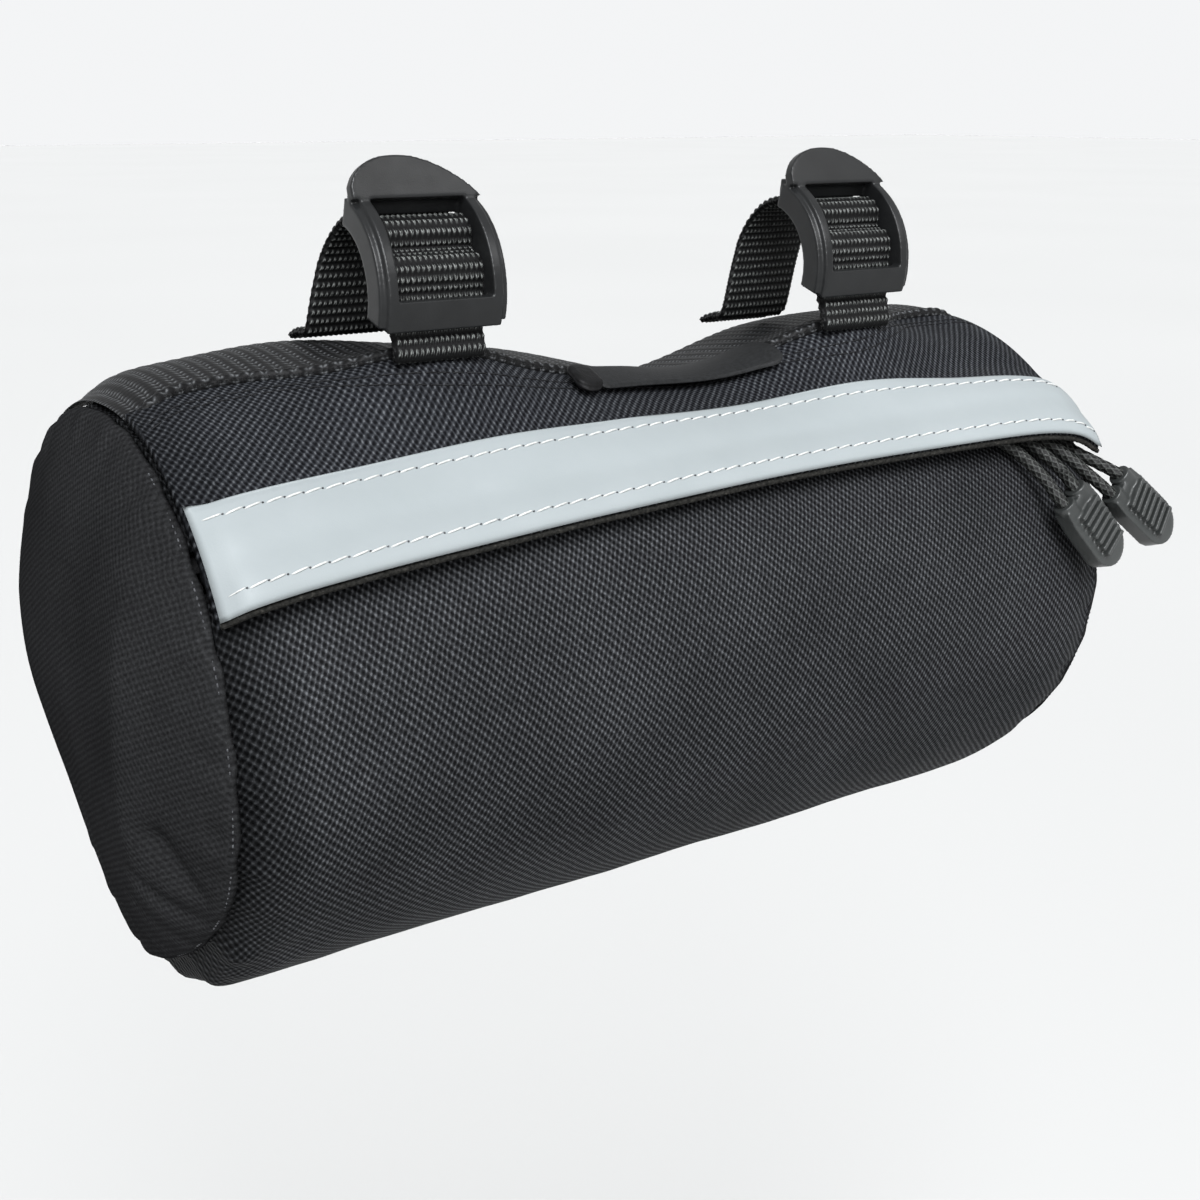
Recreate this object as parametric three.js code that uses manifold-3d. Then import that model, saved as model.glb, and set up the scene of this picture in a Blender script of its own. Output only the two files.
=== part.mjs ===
// Bicycle handlebar bag: a soft cloth cylinder that hangs from a handlebar by two buckled straps.
// Millimetres. +X runs along the handlebar, -Y is the front and +Z is up. The origin is on the
// handlebar's axis, midway between the straps. Angles are degrees from the front, positive upwards.

import * as THREE from 'three';
import { mergeVertices } from 'three/addons/utils/BufferGeometryUtils.js';
import Module from 'manifold-3d';

const wasm = await Module();
wasm.setup();

// Driving sizes
const handlebarRadius = 11.1;
const bagRadius = 54;
const bagLength = 197;
const bagSetBack = 13.2;
const barToBag = 5.3;
const clothThickness = 1.5;
const clearance = 0.3;
const bandClearance = 0.85;

// Shape that the straps and the load give the cloth
const strapSpacing = 95.6;
const strapLift = 8.6;
const liftReach = 21;
const liftAngle = 67;
const liftSpread = 10.5;
const topSag = 10.5;
const sagCentre = 16;
const sagAngle = 98;
const sagReach = 26;
const sagSpread = 32;
const backLift = 3;
const backLiftPlace = -62;
const backLiftReach = 22;
const backLiftSpread = 17;
const gatherReach = 8;
const seamPinch = 1.4;
const seamReach = 4;

// Flap, zip and reflective strip
const flapStand = 1.2;
const flapEdgeStand = 1.4;
const sliderRoom = 2.7;
const sliderReach = 24;
const stripWidth = 19;
const stripNarrowing = 3;
const stripThickness = 1;
const stripInset = 1.3;
const zipRise = 9.5;
const mouthWidth = 9;
const mouthRecess = 2;
const mouthSpread = 7;
const tapeWidth = 5;
const tapeThickness = 1;
const teethWidth = 3.4;
const teethThickness = 1.8;

// Zip sliders and pulls
const sliderInsets = { front: 23, back: 10 };
const sliderLength = 9;
const sliderWidth = 6.6;
const sliderThickness = 1.4;
const archThickness = 0.9;
const archLength = 2.2;
const cordDiameter = 2.6;
const pullWidth = 10.6;
const pullThickness = 6.4;
const pullLength = 18;
const pullRibs = 6;
const ribPitch = 1.9;
const pullNeck = 9.6;
const ribDepth = 0.7;
const socketDepth = 7;
const strandSpacing = 5.2;

// Top webbing and label
const topWebbingWidth = 38;
const topWebbingThickness = 2.2;
const labelThickness = 1;
const labelStart = -15;
const labelEnd = 30;
const labelLip = 8.5;
const labelCover = 6;

// Straps and buckles
const strapWidth = 17.6;
const strapThickness = 1.6;
const strapFootLength = 9;
const strapLean = 3.6;
const tabThickness = 2.6;
const railWidth = 3.2;
const railDepth = 5.6;
const railBottom = -20;
const tabTurnRoom = 0.8;
const railTop = 72;
const topBarTurn = 10;
const thumbSeat = 68;
const bottomBarTop = -2;
const crossBarRadius = 0.85;
const crossBarAngles = [50, 17];
const thumbHeight = 7.4;
const thumbThickness = 2.2;
const thumbTilt = 72;
const edgeRound = 0.5;

// End panels
const endBulge = 9;
const ridgeHeight = 2.8;
const ridgeBack = -18;
const ridgeSpread = 10;
const lowFall = 0.6;
const lowFallAngle = -120;
const lowFallSpread = 45;

// Lower edge of the flap along the bag, arched: along is a share of the half length.
const flapEdge = [
  { along: -1.0, angle: 27.8 },
  { along: -0.84, angle: 29.8 },
  { along: -0.5, angle: 32.4 },
  { along: 0.0, angle: 35.2 },
  { along: 0.35, angle: 36.2 },
  { along: 0.72, angle: 35.3 },
  { along: 0.9, angle: 33.9 },
  { along: 1.0, angle: 30.8 },
];

// Front edge of the top webbing along the bag: it is pulled forward at the straps.
const webbingFront = [
  { along: -1.0, angle: 74 },
  { along: -0.9, angle: 78 },
  { along: -0.76, angle: 78 },
  { along: -0.62, angle: 71 },
  { along: -0.5, angle: 68 },
  { along: -0.38, angle: 68 },
  { along: -0.2, angle: 70 },
  { along: 0.05, angle: 73 },
  { along: 0.25, angle: 72 },
  { along: 0.38, angle: 68 },
  { along: 0.5, angle: 67 },
  { along: 0.62, angle: 71 },
  { along: 0.78, angle: 80 },
  { along: 1.0, angle: 82 },
];

// How far the left end is drawn in below, where its seam is gathered, as a share of the radius.
const leftGather = [
  { angle: -200, drawn: 0.01 },
  { angle: -180, drawn: 0.05 },
  { angle: -160, drawn: 0.16 },
  { angle: -140, drawn: 0.2 },
  { angle: -120, drawn: 0.17 },
  { angle: -102, drawn: 0.12 },
  { angle: -84, drawn: 0.08 },
  { angle: -62, drawn: 0.11 },
  { angle: -42, drawn: 0.09 },
  { angle: -20, drawn: 0.02 },
  { angle: 20, drawn: 0.0 },
  { angle: 60, drawn: 0.0 },
  { angle: 90, drawn: 0.02 },
];

// The right end is sewn more evenly, with a flatter corner below.
const rightGather = [
  { angle: -200, drawn: 0.0 },
  { angle: -120, drawn: 0.03 },
  { angle: -70, drawn: 0.05 },
  { angle: -20, drawn: 0.03 },
  { angle: 20, drawn: 0.0 },
  { angle: 60, drawn: 0.0 },
];

// Path of a strap over the bar and the buckle's cross bars: out is the height of its middle above
// webbing that lies flat on the bar, in webbing thicknesses.
const strapOverBar = [
  { angle: 180, out: 0.0 },
  { angle: 164, out: 0.0 },
  { angle: 148, out: 0.0 },
  { angle: 132, out: 0.0 },
  { angle: 116, out: 0.0 },
  { angle: 100, out: 0.0 },
  { angle: 84, out: 0.0 },
  { angle: 70, out: 0.1 },
  { angle: 62, out: 0.75 },
  { angle: 55, out: 1.35 },
  { angle: 49, out: 1.45 },
  { angle: 43, out: 1.15 },
  { angle: 38, out: 0.45 },
  { angle: 33, out: 0.2 },
  { angle: 28, out: 0.45 },
  { angle: 23, out: 1.2 },
  { angle: 17, out: 1.45 },
  { angle: 11, out: 1.3 },
  { angle: 5, out: 0.7 },
  { angle: 0, out: 0.35 },
];

// Strands of the doubled pull cords, down from the first socket to the slider and on to the second:
// inset is from the bag's right end and height is above the bag's radius.
const pullCords = {
  front: {
    first: [
      { inset: 12.9, angle: 15.9, height: 6.3 },
      { inset: 14.9, angle: 18.4, height: 6.4 },
      { inset: 17.2, angle: 21.2, height: 6.7 },
      { inset: 18.7, angle: 27.7, height: 4.5 },
      { inset: 22.1, angle: 34.7, height: 2.9 },
      { inset: 25.9, angle: 39.2, height: 2.0 },
      { inset: 27.6, angle: 43.2, height: 1.3 },
    ],
    second: [
      { inset: 18.8, angle: 42.3, height: 0.6 },
      { inset: 17.7, angle: 38.5, height: 1.6 },
      { inset: 15.7, angle: 34.3, height: 2.9 },
      { inset: 12.9, angle: 28.7, height: 4.5 },
      { inset: 13.1, angle: 24.2, height: 6.9 },
      { inset: 10.8, angle: 21.4, height: 6.5 },
      { inset: 8.8, angle: 18.9, height: 6.1 },
    ],
  },
  back: {
    first: [
      { inset: -3.2, angle: 17.0, height: 6.3 },
      { inset: -0.7, angle: 19.2, height: 6.4 },
      { inset: 2.1, angle: 21.6, height: 6.6 },
      { inset: 5.9, angle: 27.4, height: 4.6 },
      { inset: 10.1, angle: 34.1, height: 2.7 },
      { inset: 13.1, angle: 38.0, height: 1.4 },
      { inset: 14.8, angle: 41.6, height: 0.5 },
    ],
    second: [
      { inset: 6.1, angle: 40.3, height: 0.1 },
      { inset: 5.5, angle: 37.2, height: 1.0 },
      { inset: 4.3, angle: 33.6, height: 1.6 },
      { inset: 1.1, angle: 28.6, height: 4.5 },
      { inset: -1.5, angle: 25.2, height: 6.8 },
      { inset: -4.3, angle: 22.8, height: 6.4 },
      { inset: -6.8, angle: 20.6, height: 6.3 },
    ],
  },
};

// Where each moulded pull end starts, and the way it points.
const pullPlaces = {
  front: { inset: 14.7, angle: 22.2, height: 6.7, toward: [11, -3.6, -14] },
  back: { inset: -0.3, angle: 22.9, height: 6.6, toward: [13.5, -3.6, -12] },
};

const bagDrop = handlebarRadius + barToBag + bagRadius;
const halfLength = bagLength / 2;
const sliderPlaces = { front: halfLength - sliderInsets.front, back: halfLength - sliderInsets.back };
const strapCentres = { left: -strapSpacing / 2, right: strapSpacing / 2 };
const bellyColumns = 22;
const topRows = 22;
const bellyRows = 18;
const topRowsEnd = 130;

const bell = (offset, spread) => Math.exp(-((offset / spread) ** 2));
const radians = THREE.MathUtils.degToRad;
const arcAngle = (length) => THREE.MathUtils.radToDeg(length / bagRadius);

// Reads one column of a table at any place, on a smooth curve through its rows.
function fromTable(table, key, column, place) {
  const last = table.length - 1;
  const within = THREE.MathUtils.clamp(place, table[0][key], table[last][key]);
  const upper = Math.max(1, table.findIndex((row) => row[key] >= within));
  const [before, low, high, after] = [upper - 2, upper - 1, upper, upper + 1].map(
    (row) => table[THREE.MathUtils.clamp(row, 0, last)],
  );
  const span = high[key] - low[key];
  const slopeLow = ((high[column] - before[column]) / (high[key] - before[key])) * span;
  const slopeHigh = ((after[column] - low[column]) / (after[key] - low[key])) * span;
  const t = (within - low[key]) / span;
  return (
    (2 * t ** 3 - 3 * t ** 2 + 1) * low[column] +
    (t ** 3 - 2 * t ** 2 + t) * slopeLow +
    (3 * t ** 2 - 2 * t ** 3) * high[column] +
    (t ** 3 - t ** 2) * slopeHigh
  );
}

// Stations along the bag, closer together towards its sewn ends.
function station(share, ends = [-halfLength, halfLength]) {
  const even = 2 * share - 1;
  const crowded = THREE.MathUtils.lerp(even, Math.sin((even * Math.PI) / 2), 0.6);
  return THREE.MathUtils.lerp(ends[0], ends[1], (crowded + 1) / 2);
}

// A point on the bag, from its place along the bag, its angle and its distance from the bag's axis.
function onBag(x, angle, radius) {
  const y = bagSetBack - radius * Math.cos(radians(angle));
  const z = -bagDrop + radius * Math.sin(radians(angle));
  return new THREE.Vector3(x, y, z);
}

// A point near the bag's right end, from a row of a table.
const nearRightEnd = ({ inset, angle, height }) => onBag(halfLength - inset, angle, bagRadius + height);

// A point of a section across the handlebar, as Y and Z.
function onBar(angle, radius) {
  return new THREE.Vector2(-radius * Math.cos(radians(angle)), radius * Math.sin(radians(angle)));
}

// Outside of the cloth body: round, lifted at the straps and behind the left one, sagging between them,
// drawn in at the seams.
function bodyRadius(x, angle) {
  const turned = angle > 160 ? angle - 360 : angle;
  const atStraps = Object.values(strapCentres).reduce((sum, centre) => sum + bell(x - centre, liftReach), 0);
  const lift = strapLift * atStraps * bell(turned - liftAngle, liftSpread);
  const sag = topSag * bell(x - sagCentre, sagReach) * bell(turned - sagAngle, sagSpread);
  const behind = backLift * bell(x - backLiftPlace, backLiftReach) * bell(turned - sagAngle, backLiftSpread);
  const gathers = x < 0 ? leftGather : rightGather;
  const fromEnd = halfLength - Math.abs(x);
  const drawn = bagRadius * fromTable(gathers, 'angle', 'drawn', turned) * bell(fromEnd, gatherReach);
  return bagRadius + lift + behind - sag - drawn - seamPinch * bell(fromEnd, seamReach);
}

const flapEdgeAngle = (x) => fromTable(flapEdge, 'along', 'angle', x / halfLength);
const zipAngle = (x) => flapEdgeAngle(x) + arcAngle(zipRise);
const webbingFrontAngle = (x) => fromTable(webbingFront, 'along', 'angle', x / halfLength);

// The body's cloth dips where the zip is sewn into its mouth.
function mouthRadius(x, angle) {
  return bodyRadius(x, angle) - mouthRecess * bell(angle - zipAngle(x), mouthSpread);
}

// Inner face of the flap, which stands off the zip and leaves room for the sliders.
function flapInnerRadius(x, angle) {
  const below = THREE.MathUtils.smoothstep(zipAngle(x) + 2 * mouthSpread - angle, 0, 2 * mouthSpread);
  const edge = THREE.MathUtils.smoothstep(zipAngle(x) - angle, 0, mouthSpread);
  const middle = (sliderPlaces.front + sliderPlaces.back) / 2;
  const stand = flapStand + sliderRoom * bell(x - middle, sliderReach);
  const fromSeam = THREE.MathUtils.smoothstep(x, -halfLength, seamReach - halfLength);
  return bodyRadius(x, angle) + bandClearance + (stand * below + flapEdgeStand * edge) * fromSeam;
}

const flapOuterRadius = (x, angle) => flapInnerRadius(x, angle) + clothThickness;
const webbingTop = (x, angle) => bodyRadius(x, angle) + bandClearance + topWebbingThickness;

function material(color, roughness, metalness = 0) {
  return new THREE.MeshStandardMaterial({ color, roughness, metalness });
}

const nylon = material(0x1d1e22, 0.85);
const webbing = material(0x17181a, 0.9);
const reflective = material(0xc8d3d5, 0.45);
const darkTape = material(0x141416, 0.8);
const labelCloth = material(0x2b2c2f, 0.7);
const plastic = material(0x333538, 0.42);
const zinc = material(0x3a3b3d, 0.4, 0.8);
const braid = material(0x121214, 0.85);

const group = new THREE.Group();

function addPiece(name, geometry, look) {
  const mesh = new THREE.Mesh(geometry, look);
  mesh.name = name;
  group.add(mesh);
}

// Makes a geometry from vertices and faces, with its faces pointing out.
function solidFrom(vertices, faces) {
  const volume = faces.reduce((sum, [a, b, c]) => {
    const cross = new THREE.Vector3().crossVectors(vertices[b], vertices[c]);
    return sum + vertices[a].dot(cross);
  }, 0);
  const geometry = new THREE.BufferGeometry();
  const outward = volume < 0 ? faces.map(([a, b, c]) => [a, c, b]) : faces;
  geometry.setAttribute('position', new THREE.Float32BufferAttribute(vertices.flatMap((v) => v.toArray()), 3));
  geometry.setIndex(outward.flat());
  geometry.computeVertexNormals();
  return geometry;
}

// A sheet with two faces: place(u, v, depth) gives the outer face at depth 0 and the inner at 1.
function sheet(columns, rows, place) {
  const vertices = [];
  const faces = [];
  const at = (depth, i, j) => (depth * (columns + 1) + i) * (rows + 1) + j;
  const quad = (a, b, c, d) => faces.push([a, b, c], [a, c, d]);
  for (const depth of [0, 1]) {
    for (let i = 0; i <= columns; i += 1) {
      for (let j = 0; j <= rows; j += 1) {
        vertices.push(place(i / columns, j / rows, depth));
      }
    }
  }
  for (let i = 0; i < columns; i += 1) {
    for (let j = 0; j < rows; j += 1) {
      quad(at(0, i, j), at(0, i + 1, j), at(0, i + 1, j + 1), at(0, i, j + 1));
      quad(at(1, i, j), at(1, i, j + 1), at(1, i + 1, j + 1), at(1, i + 1, j));
    }
    quad(at(0, i, 0), at(1, i, 0), at(1, i + 1, 0), at(0, i + 1, 0));
    quad(at(0, i, rows), at(0, i + 1, rows), at(1, i + 1, rows), at(1, i, rows));
  }
  for (let j = 0; j < rows; j += 1) {
    quad(at(0, 0, j), at(0, 0, j + 1), at(1, 0, j + 1), at(1, 0, j));
    quad(at(0, columns, j), at(1, columns, j), at(1, columns, j + 1), at(0, columns, j + 1));
  }
  return solidFrom(vertices, faces);
}

// A round panel with two faces: place(share, angle, depth), with share 0 at its middle and 1 at its rim.
function roundPanel(rings, spokes, place) {
  const vertices = [];
  const faces = [];
  const at = (depth, ring, spoke) =>
    depth * (rings * spokes + 1) + (ring === 0 ? 0 : 1 + (ring - 1) * spokes + (spoke % spokes));
  const quad = (a, b, c, d) => faces.push([a, b, c], [a, c, d]);
  for (const depth of [0, 1]) {
    vertices.push(place(0, 0, depth));
    for (let ring = 1; ring <= rings; ring += 1) {
      for (let spoke = 0; spoke < spokes; spoke += 1) {
        vertices.push(place(ring / rings, (spoke / spokes) * 360 - 180, depth));
      }
    }
  }
  for (let spoke = 0; spoke < spokes; spoke += 1) {
    faces.push([at(0, 0, 0), at(0, 1, spoke), at(0, 1, spoke + 1)]);
    faces.push([at(1, 0, 0), at(1, 1, spoke + 1), at(1, 1, spoke)]);
    for (let ring = 1; ring < rings; ring += 1) {
      const [inside, outside] = [ring, ring + 1];
      quad(at(0, inside, spoke), at(0, outside, spoke), at(0, outside, spoke + 1), at(0, inside, spoke + 1));
      quad(at(1, inside, spoke), at(1, inside, spoke + 1), at(1, outside, spoke + 1), at(1, outside, spoke));
    }
    quad(at(0, rings, spoke), at(1, rings, spoke), at(1, rings, spoke + 1), at(0, rings, spoke + 1));
  }
  return solidFrom(vertices, faces);
}

// Joins or cuts closed geometries.
function toManifold(geometry) {
  const bare = geometry.clone();
  bare.deleteAttribute('normal');
  bare.deleteAttribute('uv');
  const merged = mergeVertices(bare, 1e-4);
  return new wasm.Manifold(
    new wasm.Mesh({
      numProp: 3,
      vertProperties: new Float32Array(merged.attributes.position.array),
      triVerts: new Uint32Array(merged.index.array),
    }),
  );
}

function fromManifold(manifold) {
  const mesh = manifold.getMesh();
  const geometry = new THREE.BufferGeometry();
  geometry.setAttribute('position', new THREE.BufferAttribute(new Float32Array(mesh.vertProperties), 3));
  geometry.setIndex(new THREE.BufferAttribute(new Uint32Array(mesh.triVerts), 1));
  geometry.computeVertexNormals();
  return geometry;
}

function joined(geometries) {
  return fromManifold(geometries.map(toManifold).reduce((whole, piece) => whole.add(piece)));
}

// An outline drawn in Y and Z, extruded along X between two places.
function alongX(outline, start, end, bevel = 0) {
  const geometry = new THREE.ExtrudeGeometry(new THREE.Shape(outline), {
    depth: end - start - 2 * bevel,
    steps: 1,
    bevelEnabled: bevel > 0,
    bevelThickness: bevel,
    bevelSize: bevel,
    bevelOffset: -bevel,
    bevelSegments: 1,
  });
  const turn = new THREE.Matrix4().makeBasis(
    new THREE.Vector3(0, 1, 0),
    new THREE.Vector3(0, 0, 1),
    new THREE.Vector3(1, 0, 0),
  );
  return geometry.applyMatrix4(turn).translate(start + bevel, 0, 0);
}

// Body: one sheet wrapped round from the mouth's lower edge, below and behind, to its upper edge.
function mainPanel() {
  const half = arcAngle(mouthWidth / 2);
  const rows = bellyRows + topRows;
  return sheet(bellyColumns, rows, (u, v, depth) => {
    const x = station(u);
    const [start, end] = [zipAngle(x) - half, zipAngle(x) + half - 360];
    const topShare = (v * rows - bellyRows) / topRows;
    const angle =
      topShare < 0
        ? THREE.MathUtils.lerp(start, topRowsEnd - 360, (v * rows) / bellyRows)
        : THREE.MathUtils.lerp(topRowsEnd - 360, end, topShare);
    const radius = mouthRadius(x, angle < -160 ? angle + 360 : angle);
    return onBag(x, angle, radius - depth * clothThickness);
  });
}

// End: a disc that bulges, with one soft upright ridge and a gathered rim that follows the body's end.
// The left one is drawn in low down at the back, where its rim is gathered most.
function endPanel(side) {
  const rim = side * halfLength;
  const fall = side < 0 ? lowFall : 0;
  return roundPanel(6, 32, (share, angle, depth) => {
    const radius = share * bodyRadius(rim, angle);
    const { y, z } = onBag(0, angle, radius);
    const drawnIn = fall * share * bell(angle - lowFallAngle, lowFallSpread);
    const bulge = endBulge * (1 - share ** 3.2) * (1 - drawnIn);
    const ridge = ridgeHeight * bell(y - ridgeBack, ridgeSpread) * (1 - share ** 4);
    const out = clearance + (1 - depth) * clothThickness + bulge + ridge;
    return new THREE.Vector3(rim + side * out, y, z);
  });
}

// A band that follows the body along its whole length, between two angles and two radii.
function lengthwiseBand(columns, rows, angles, radii, ends) {
  return sheet(columns, rows, (u, v, depth) => {
    const x = station(u, ends);
    const [low, high] = angles(x);
    const angle = THREE.MathUtils.lerp(high, low, v);
    const [outer, inner] = radii(x, angle);
    return onBag(x, angle, depth === 0 ? outer : inner);
  });
}

function flap() {
  const angles = (x) => [flapEdgeAngle(x), webbingFrontAngle(x) - arcAngle(clearance)];
  return lengthwiseBand(bellyColumns, 10, angles, (x, angle) => [flapOuterRadius(x, angle), flapInnerRadius(x, angle)]);
}

function reflectiveStrip() {
  const angles = (x) => {
    const low = flapEdgeAngle(x) + arcAngle(stripInset);
    const width = stripWidth - stripNarrowing * THREE.MathUtils.smoothstep(x, 0, halfLength);
    return [low, low + THREE.MathUtils.radToDeg(width / flapOuterRadius(x, low))];
  };
  return lengthwiseBand(bellyColumns, 4, angles, (x, angle) => {
    const inner = flapOuterRadius(x, angle) + clearance;
    return [inner + stripThickness, inner];
  });
}

// Zip: two tapes that pass under the mouth's edges and the closed teeth between them.
function zipRadii(x, angle, thickness, proud) {
  const tapeOuter = bodyRadius(x, angle) - mouthRecess - clothThickness - clearance;
  return [tapeOuter + proud, tapeOuter + proud - thickness];
}

function zipTape(side) {
  const near = teethWidth / 2 + clearance;
  const angles = (x) => {
    const edges = [near, near + tapeWidth].map((offset) => zipAngle(x) + side * arcAngle(offset));
    return edges.sort((a, b) => a - b);
  };
  return lengthwiseBand(bellyColumns, 1, angles, (x, angle) => zipRadii(x, angle, tapeThickness, 0));
}

function zipTeeth() {
  const half = arcAngle(teethWidth / 2);
  const angles = (x) => [zipAngle(x) - half, zipAngle(x) + half];
  const proud = (teethThickness - tapeThickness) / 2;
  return lengthwiseBand(bellyColumns, 1, angles, (x, angle) => zipRadii(x, angle, teethThickness, proud));
}

// Frame on the zip: X along it, Y up the cloth and Z away from the bag.
function frameOnZip(x, height) {
  const teethTop = (place) => zipRadii(place, zipAngle(place), 0, (teethThickness - tapeThickness) / 2)[0];
  const onTeeth = (place) => onBag(place, zipAngle(place), teethTop(place) + height);
  const along = onTeeth(x + sliderLength / 2).sub(onTeeth(x - sliderLength / 2)).normalize();
  const out = onBag(0, zipAngle(x), 1).sub(onBag(0, zipAngle(x), 0));
  const up = new THREE.Vector3().crossVectors(out, along).normalize();
  out.crossVectors(along, up);
  return new THREE.Matrix4().makeBasis(along, up, out).setPosition(onTeeth(x));
}

// Slider: a plate over the teeth with an arch on top, which the pull cord runs through.
function zipSlider(x) {
  const room = cordDiameter + 3 * clearance;
  const plate = new THREE.BoxGeometry(sliderLength, sliderWidth, sliderThickness);
  plate.translate(0, 0, sliderThickness / 2);
  const archHeight = sliderThickness / 2 + room + archThickness;
  const arch = new THREE.BoxGeometry(archLength, room + 2 * archThickness, archHeight);
  const eye = new THREE.BoxGeometry(archLength * 2, room, room);
  arch.translate(0, 0, (sliderThickness + archHeight) / 2);
  eye.translate(0, 0, sliderThickness + room / 2);
  const body = fromManifold(toManifold(plate).add(toManifold(arch).subtract(toManifold(eye))));
  return body.applyMatrix4(frameOnZip(x, clearance));
}

// Where a cord turns in its slider's eye.
function turnInEye(x) {
  const frame = frameOnZip(x, clearance);
  const height = sliderThickness + cordDiameter / 2 + 1.5 * clearance;
  const reach = archLength * 1.4;
  return [-reach, 0, reach].map((along) => {
    const drop = along === 0 ? 0 : cordDiameter / 2;
    return new THREE.Vector3(along, -drop, height).applyMatrix4(frame);
  });
}

// Cord: a tube of eight sides along its two strands and the turn between them.
function pullCord(place) {
  const { first, second } = pullCords[place];
  const section = new THREE.Shape();
  for (let side = 0; side < 8; side += 1) {
    const turn = (side / 8) * 2 * Math.PI;
    const corner = [Math.cos(turn), Math.sin(turn)].map((share) => (share * cordDiameter) / 2);
    section[side === 0 ? 'moveTo' : 'lineTo'](...corner);
  }
  section.closePath();
  const points = [...first.map(nearRightEnd), ...turnInEye(sliderPlaces[place]), ...second.map(nearRightEnd)];
  const route = new THREE.CatmullRomCurve3(points, false, 'centripetal');
  return new THREE.ExtrudeGeometry(section, { steps: 20, bevelEnabled: false, extrudePath: route });
}

// Pull end: a moulded tongue with ribs across both faces and two sockets for the cord.
function pullEnd(place) {
  const outline = new THREE.Shape();
  const [neck, half] = [pullNeck / 2, pullWidth / 2];
  outline.moveTo(-neck, 0);
  outline.lineTo(neck, 0);
  outline.lineTo(half, pullLength * 0.22);
  outline.lineTo(half, pullLength - half);
  outline.absarc(0, pullLength - half, half, 0, Math.PI, false);
  outline.lineTo(-half, pullLength * 0.22);
  const tongue = new THREE.ExtrudeGeometry(outline, {
    depth: pullThickness - 2 * edgeRound,
    bevelThickness: edgeRound,
    bevelSize: edgeRound,
    bevelOffset: -edgeRound,
    bevelSegments: 1,
    curveSegments: 8,
  });
  tongue.translate(0, 0, edgeRound - pullThickness / 2);
  let body = toManifold(tongue);
  for (let rib = 0; rib < pullRibs; rib += 1) {
    for (const face of [-1, 1]) {
      const groove = new THREE.BoxGeometry(pullWidth * 0.74, ribPitch / 2, 2 * ribDepth);
      groove.translate(0, pullLength * 0.26 + rib * ribPitch, (face * pullThickness) / 2);
      body = body.subtract(toManifold(groove));
    }
  }
  for (const side of [-1, 1]) {
    const bore = cordDiameter / 2 + clearance;
    const socket = new THREE.CylinderGeometry(bore, bore, 2 * socketDepth, 8);
    socket.translate((side * strandSpacing) / 2, 0, 0);
    body = body.subtract(toManifold(socket));
  }
  const along = new THREE.Vector3(...place.toward).normalize();
  const out = onBag(0, 20, 1).sub(onBag(0, 20, 0));
  const across = new THREE.Vector3().crossVectors(along, out).normalize();
  out.crossVectors(across, along);
  const turn = new THREE.Matrix4().makeBasis(across, along, out).setPosition(nearRightEnd(place));
  return fromManifold(body).applyMatrix4(turn);
}

// Wide webbing along the top of the bag, under both straps.
function topWebbing() {
  const angles = (x) => [webbingFrontAngle(x), webbingFrontAngle(x) + arcAngle(topWebbingWidth)];
  return lengthwiseBand(bellyColumns, 7, angles, (x, angle) => [
    webbingTop(x, angle),
    webbingTop(x, angle) - topWebbingThickness,
  ]);
}

// Tab folded over the webbing's front edge between the straps.
function labelTab() {
  const angles = (x) => [webbingFrontAngle(x) - arcAngle(labelLip), webbingFrontAngle(x) + arcAngle(labelCover)];
  const radii = (x, angle) => {
    const inner = Math.max(webbingTop(x, angle), flapOuterRadius(x, angle)) + bandClearance;
    return [inner + labelThickness, inner];
  };
  return lengthwiseBand(8, 4, angles, radii, [labelStart, labelEnd]);
}

// A length of webbing across X that follows a path of Y and Z points and leans to the left at its start.
function webbingAlong(path, centre, width, thickness, lean = 0) {
  const curve = new THREE.CatmullRomCurve3(path.map((p) => new THREE.Vector3(0, p.x, p.y)), false, 'centripetal');
  const rows = Math.round((path.length - 1) * 1.5);
  return sheet(1, rows, (u, v, depth) => {
    const middle = curve.getPoint(v);
    const ahead = curve.getTangent(v);
    const out = new THREE.Vector3(0, ahead.z, -ahead.y);
    const x = centre + (u - 0.5) * width - lean * (1 - THREE.MathUtils.smoothstep(v, 0.1, 0.5));
    return middle.addScaledVector(out, (0.5 - depth) * thickness).setX(x);
  });
}

// Strap: its foot lies on the top webbing behind the bar, and it climbs over the bar to the buckle.
function strap(centre) {
  const flat = handlebarRadius + clearance + strapThickness / 2;
  const overBar = strapOverBar.map(({ angle, out }) => onBar(angle, flat + out * strapThickness));
  const foot = [1, 0.55, 0.2].map((share) => {
    const y = flat + strapFootLength * share;
    const angle = 90 + THREE.MathUtils.radToDeg(Math.asin((y - bagSetBack) / bagRadius));
    const places = [-0.75, -0.25, 0.5].map((offset) => webbingTop(centre + offset * strapWidth, angle));
    const height = Math.max(...places) + clearance + strapThickness / 2;
    return new THREE.Vector2(y, onBag(0, angle, height).z + strapThickness * (1 - share));
  });
  return webbingAlong([...foot, ...overBar], centre, strapWidth, strapThickness, strapLean);
}

// Doubled webbing that ties the buckle's bottom bar to the bag, in front of the top webbing.
function strapTab(centre) {
  const angle = webbingFrontAngle(centre) - arcAngle(2 * clearance + tabThickness / 2);
  const surface = flapOuterRadius(centre, angle) + clearance;
  const onRadius = (height) => onBag(0, angle, surface + height);
  const foot = [0, 1.2].map((height) => new THREE.Vector2(onRadius(height).y, onRadius(height).z));
  const behindBar = [-17, -11, -5].map((turn) => onBar(turn, handlebarRadius + clearance + tabThickness / 2));
  return webbingAlong([...foot, ...behindBar], centre, strapWidth, tabThickness);
}

const buckleFloor = handlebarRadius + 2 * clearance;
const buckleOuter = buckleFloor + railDepth;
const halfBuckle = strapWidth / 2 + clearance + railWidth;

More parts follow.
